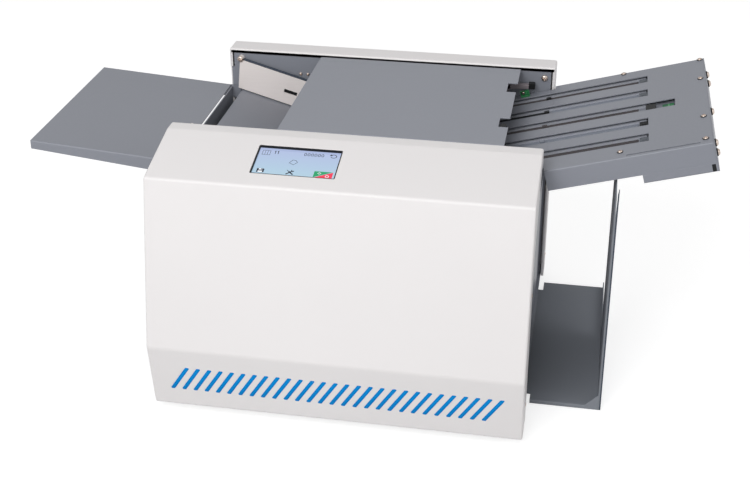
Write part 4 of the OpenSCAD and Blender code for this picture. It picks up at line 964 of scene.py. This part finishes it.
def makeHopper(c):
    plane = sideways(hopper)
    left, right, foot = c["foot"]
    x, w, r = c["ear"]
    sheet = [(left, foot), (right, foot), (right, c["head"]), *arc(x, w, r, range(-18, 268, 15))]
    guide = platePiece("rearGuide", [(sheet, -c["far"], -c["near"])], plane, [guideSteelPaintedBright])
    cutPlates(guide, [rectangle(*c["window"], 0.8)], *c["windowDepths"], plane)
    posts = [(circle(px, pw, c["postRadius"]), -c["frame"], -c["far"]) for px, pw in c["posts"]]
    merge(guide, platePiece("guidePosts", posts, plane, [guideSteelPaintedBright]))
    attach(easeRims(guide, c["rim"]), "housing", "stainless", "rear_guide")
    # sensor frame behind the window, its face in the window, and a dark band above the sheet's upper edge,
    # painted shade of the gap between guide and frame
    u0, u1, w0, w1 = c["window"]
    back = -c["far"] - 0.02
    sensor = [(rectangle(u0 - 2, u1 + 2, w0 - 2, w1 + 2, 1), -402, back),
              (rectangle(u0 + 0.2, u1 - 0.2, w0 + 0.2, w1 - 0.2, 0.6), -398.05, -397.3),
              (rectangle(*c["edge"]), -400, back, 1)]
    attach(easeRims(platePiece("guideSensor", sensor, plane, [blackPlastic, darkShadeEdge]), c["sensorRim"]),
           "housing", "black_plastic")
    redraw("front_guide", "paper_guide", "stainless", [guideSteelPaintedBright], rim=0.2,
           rimless=lambda p: p.y > 165)


makeHopper(hopperParts)


# What shows in the fold plate's slots. Extents across a slot count from its middle, each entry in
# pads and strips starts with the slot's number and ends with the material's, and strips has the
# extent along the slot between them.
slotParts = {"floor": -6, "pads": [(0, 0), (1, 1), (3, 0), (4, 0)],
             "pad": (291.5, 302.2, -1.5, 9.8, 0.8), "padTop": -3.2,
             "knob": (294, 300, 1, 7, 0.6), "knobTop": -2.7, "padRim": 0.15,
             "strips": [(0, 82, 290, 0), (1, 82, 290, 1), (2, 82, 290, 0), (3, 82, 169, 2),
                        (3, 178.5, 290, 1), (4, 82, 290, 0)],
             "strip": (4, 11), "stripTop": -5.7, "rib": (72, 300, 11.2, 20, 0.4), "ribTop": -3.8,
             "recess": (368.4, 372.8, -35.8, -26.8, 0.6), "recessDepths": (-142.05, -141.8),
             "stripRim": 0.08}


def makeSlotParts(c, slots):
    def across(k, low, high):
        middle = slots["first"] + k * slots["pitch"]
        return middle + low, middle + high

    def blockAt(k, block):
        u0, u1, low, high, r = block
        return rectangle(u0, u1, *across(k, low, high), r)

    floor = c["floor"]
    pads = []
    for k, shade in c["pads"]:
        pads.append((blockAt(k, c["pad"]), floor, c["padTop"], shade))
        pads.append((blockAt(k, c["knob"]), c["padTop"], c["knobTop"], shade))
    attach(easeRims(platePiece("slotPads", pads, foldPlate, [padGrey, blackPlastic]), c["padRim"]),
           "housing", "black_plastic")
    # strips beside the slots, dark brown, black or bare steel, with a rib behind each; the dark brown is
    # painted shade of the lower sheet's slot openings
    bm = bmesh.new()
    for k, u0, u1, shade in c["strips"]:
        addPlate(bm, blockAt(k, (u0, u1, *c["strip"], 0.4)), floor, c["stripTop"], foldPlate, shade)
    # the ribs' lighter grey is painted light in the shaded gap under the top sheet
    for k in range(slots["count"]):
        addPlate(bm, blockAt(k, c["rib"]), floor, c["ribTop"], foldPlate, 3)
    # black plate in the end box's front corner, painted shade of a lock recess
    addPlate(bm, rectangle(*c["recess"]), *c["recessDepths"], sideways(foldPlate), 2)
    strips = newPiece("slideStrips", bm, [slotShadeBrown, stripSteel, blackPlastic, ribGreyPaintedLight])
    attach(easeRims(strips, c["stripRim"]), "housing", "black_plastic")


makeSlotParts(slotParts, foldBase["slots"])
print("hopper and slot parts made")


# Rollers, drive and electrics: drawn shapes in their real materials, face by face

rollers = {"fold": [(259.112, 261.849), (267.185, 232.541), (297.123, 227.262), (291.844, 197.324)],
           "seal": [(352.144, 224.871), (344.365, 180.752), (402.172, 216.05), (394.393, 171.931)],
           "feed": (145.678, 257.158), "shafts": {"fold": 5, "seal": 8, "feed": 5},
           "skin": (149.9, 400.1), "tyres": (195, 360), "rim": 0.4}


# Shaft, then what is on it between the ends of its skin, then the gear at its front end
def shaftOrSkin(axis, shaft, skin):
    def pick(p):
        if math.hypot(p.x - axis[0], p.z - axis[1]) <= shaft + 0.05:
            return 0
        return 2 if 117.5 < p.y < 126.5 else 1 if skin[0] < p.y < skin[1] else 0
    return pick


def makeRollers(c):
    for kind, skin, slot in (("fold", rollerRubber, "roller_rubber"), ("seal", rollSteel, "plain_steel")):
        for k, axis in enumerate(c[kind], 1):
            node = "%s_roller_%d" % (kind, k)
            redraw(node, node, slot, [shaftSteel, skin, gearNylon], rim=c["rim"],
                   pick=shaftOrSkin(axis, c["shafts"][kind], c["skin"]), rimless=lambda p: 117 < p.y < 127)
    redraw("feed_roller", "feed_roller", "roller_rubber", [shaftSteel, rollerRubber, gearNylon],
           rim=c["rim"], pick=shaftOrSkin(c["feed"], c["shafts"]["feed"], c["tyres"]))


# Heights and extents at which one material of a drawn part ends and the next begins
electrics = {"boardBack": 133.85, "boardFace": 135.55, "caseTop": 58.1, "motorFace": 100.05,
             "sensor": (290, 315), "stopBar": -9.9, "farFingers": 300, "steelFinger": (210, 255)}


def makeElectrics(c):
    def onBoard(p):
        return 1 if p.y > c["boardFace"] else 0 if p.y > c["boardBack"] else 2

    # fingers take the painted shade brown of the strips, steel in the second slot, black at the bar and in
    # the fourth and fifth slots
    def onStop(p):
        if p.z < c["stopBar"] or p.y > c["farFingers"]:
            return 0
        return 2 if c["steelFinger"][0] < p.y < c["steelFinger"][1] else 1

    redraw("main_board", "housing", "board_green", [boardGreen, shaftSteel, blackPlastic], rim=0,
           pick=onBoard)
    redraw("power_supply", "housing", "supply_case", [supplyCase, capacitorSleeve], rim=0.5,
           pick=lambda p: int(p.z > c["caseTop"]))
    redraw("main_motor", "housing", "motor_black", [motorPaint, shaftSteel], rim=0.8,
           pick=lambda p: int(p.y > c["motorFace"]))
    redraw("fold_sensor", "housing", "board_green", [boardGreen, blackPlastic], rim=0.2, plane=foldPlate,
           pick=lambda p: int(c["sensor"][0] < p.x < c["sensor"][1]))
    redraw("fold_stop", "fold_stop", "black_plastic", [blackPlastic, slotShadeBrown, stripSteel], rim=0.2,
           plane=foldPlate, pick=onStop)
    redraw("lid_catch", "housing", "black_plastic", [blackPlastic], rim=0.4)


# Release lever over the fold plate: a flat steel bar from its hub to a black knob
latch = {"pin": (380.01, 296.96), "hub": 4.2, "hole": 2.15, "near": 388.5, "far": 395.5, "rim": 0.3,
         "bar": [(4, -3.6), (11, 6), (36, 8), (36, 13.4), (8, 12.7), (-3, 3)],
         "knob": [(35.5, 7.5), (43, 7.5), (44, 8.5), (44, 14.6), (43, 15.6), (35.5, 15.6)]}


def makeLatch(c):
    plane = sideways(upright)
    paints = [leverSteel, blackPlastic]
    x, z = c["pin"]
    low, high = -c["far"], -c["near"]
    hub = arc(0, 0, c["hub"], range(120, 301, 15))
    bar, knob = ([(x + a, z + b) for a, b in outline] for outline in (hub + c["bar"], c["knob"]))
    lever = platePiece("plateLatch", [(bar, low, high)], plane, paints)
    cutPlates(lever, [circle(x, z, c["hole"])], low - 1, high + 1, plane)
    merge(lever, platePiece("latchKnob", [(knob, low - 0.2, high + 0.2, 1)], plane, paints))
    attach(easeRims(lever, c["rim"]), "latch", "stainless", "plate_latch")


makeRollers(rollers)
makeElectrics(electrics)
makeLatch(latch)
print("rollers and electrics made")


# Drawn parts that are shown as they are, in their finishes

finishes = {"cover_white": coverWhite, "panel_grey": panelGrey, "lid_grey": lidGrey, "vent_blue": ventBlue,
            "stainless": chuteStainless, "plain_steel": shaftSteel, "zinc_steel": bracketZinc,
            "spring_steel": springSteel, "roller_rubber": rollerRubber, "foot_rubber": footRubber,
            "belt_rubber": beltRubber, "bronze": bronze, "black_plastic": blackPlastic,
            "dark_plastic": gearNylon, "friction_cork": cork, "motor_black": motorPaint,
            "display_glass": display, "board_green": boardGreen, "supply_case": supplyCase}
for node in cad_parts.values():
    if not node.hide_render:
        for place in node.material_slots:
            place.material = finishes[place.material.name.split(".")[0]]
print("drawn parts finished")


# Floor and light

studio = {"floorReach": 8, "floorTone": "#B8B8B8", "floorLift": 0.72, "skyLight": 0.58, "skySeen": 1.0,
          "aim": (0, 0, 0.2),
          "boxes": [("frontBox", (-0.5, -2.3, 2.2), 1.6, 45), ("lowBox", (-0.3, -3.0, 1.0), 1.8, 16),
                    ("rightBox", (2.4, -0.4, 1.5), 1.4, 8)]}


# 1 for rays that show a surface to the camera, straight on, in a reflection or through glass
def seenDirectly(tree):
    rays = addNode(tree, "ShaderNodeLightPath").outputs
    seen = rays["Is Camera Ray"]
    for kind in ("Is Glossy Ray", "Is Transmission Ray"):
        seen = addNode(tree, "ShaderNodeMath", {"operation": "MAXIMUM"}, {0: seen, 1: rays[kind]}).outputs[0]
    return seen


def makeStage(c):
    floorPaint = bpy.data.materials.new("palePaperFloor")
    floorPaint.use_nodes = True
    tree = floorPaint.node_tree
    tree.nodes.clear()
    lift = addNode(tree, "ShaderNodeMath", {"operation": "MULTIPLY", 1: c["floorLift"]},
                   {0: seenDirectly(tree)})
    matt = addNode(tree, "ShaderNodeBsdfDiffuse", {"Color": linear(c["floorTone"])})
    glow = addNode(tree, "ShaderNodeEmission", {}, {"Strength": lift.outputs[0]})
    both = addNode(tree, "ShaderNodeAddShader", {}, {0: matt.outputs[0], 1: glow.outputs[0]})
    addNode(tree, "ShaderNodeOutputMaterial", {}, {0: both.outputs[0]})
    reach = c["floorReach"]
    bm = bmesh.new()
    bm.faces.new([bm.verts.new((x, y, 0)) for x, y in rectangle(-reach, reach, -reach, reach)])
    newPiece("floor", bm, [floorPaint])
    world = bpy.data.worlds.new("studio")
    bpy.context.scene.world = world
    world.use_nodes = True
    tree = world.node_tree
    tree.nodes.clear()
    strength = addNode(tree, "ShaderNodeMapRange", {3: c["skyLight"], 4: c["skySeen"]},
                       {0: seenDirectly(tree)})
    sky = addNode(tree, "ShaderNodeBackground", {}, {"Strength": strength.outputs[0]})
    addNode(tree, "ShaderNodeOutputWorld", {}, {0: sky.outputs[0]})
    for name, place, size, power in c["boxes"]:
        light = bpy.data.lights.new(name, "AREA")
        light.shape = "SQUARE"
        light.size = size
        light.energy = power
        lamp = standData(name, light)
        lamp.location = place
        lamp.rotation_mode = "QUATERNION"
        lamp.rotation_quaternion = (Vector(c["aim"]) - lamp.location).to_track_quat("-Z", "Y")
    bpy.context.scene.view_settings.view_transform = "Standard"


makeStage(studio)
print("stage made")

print("all pieces in place")
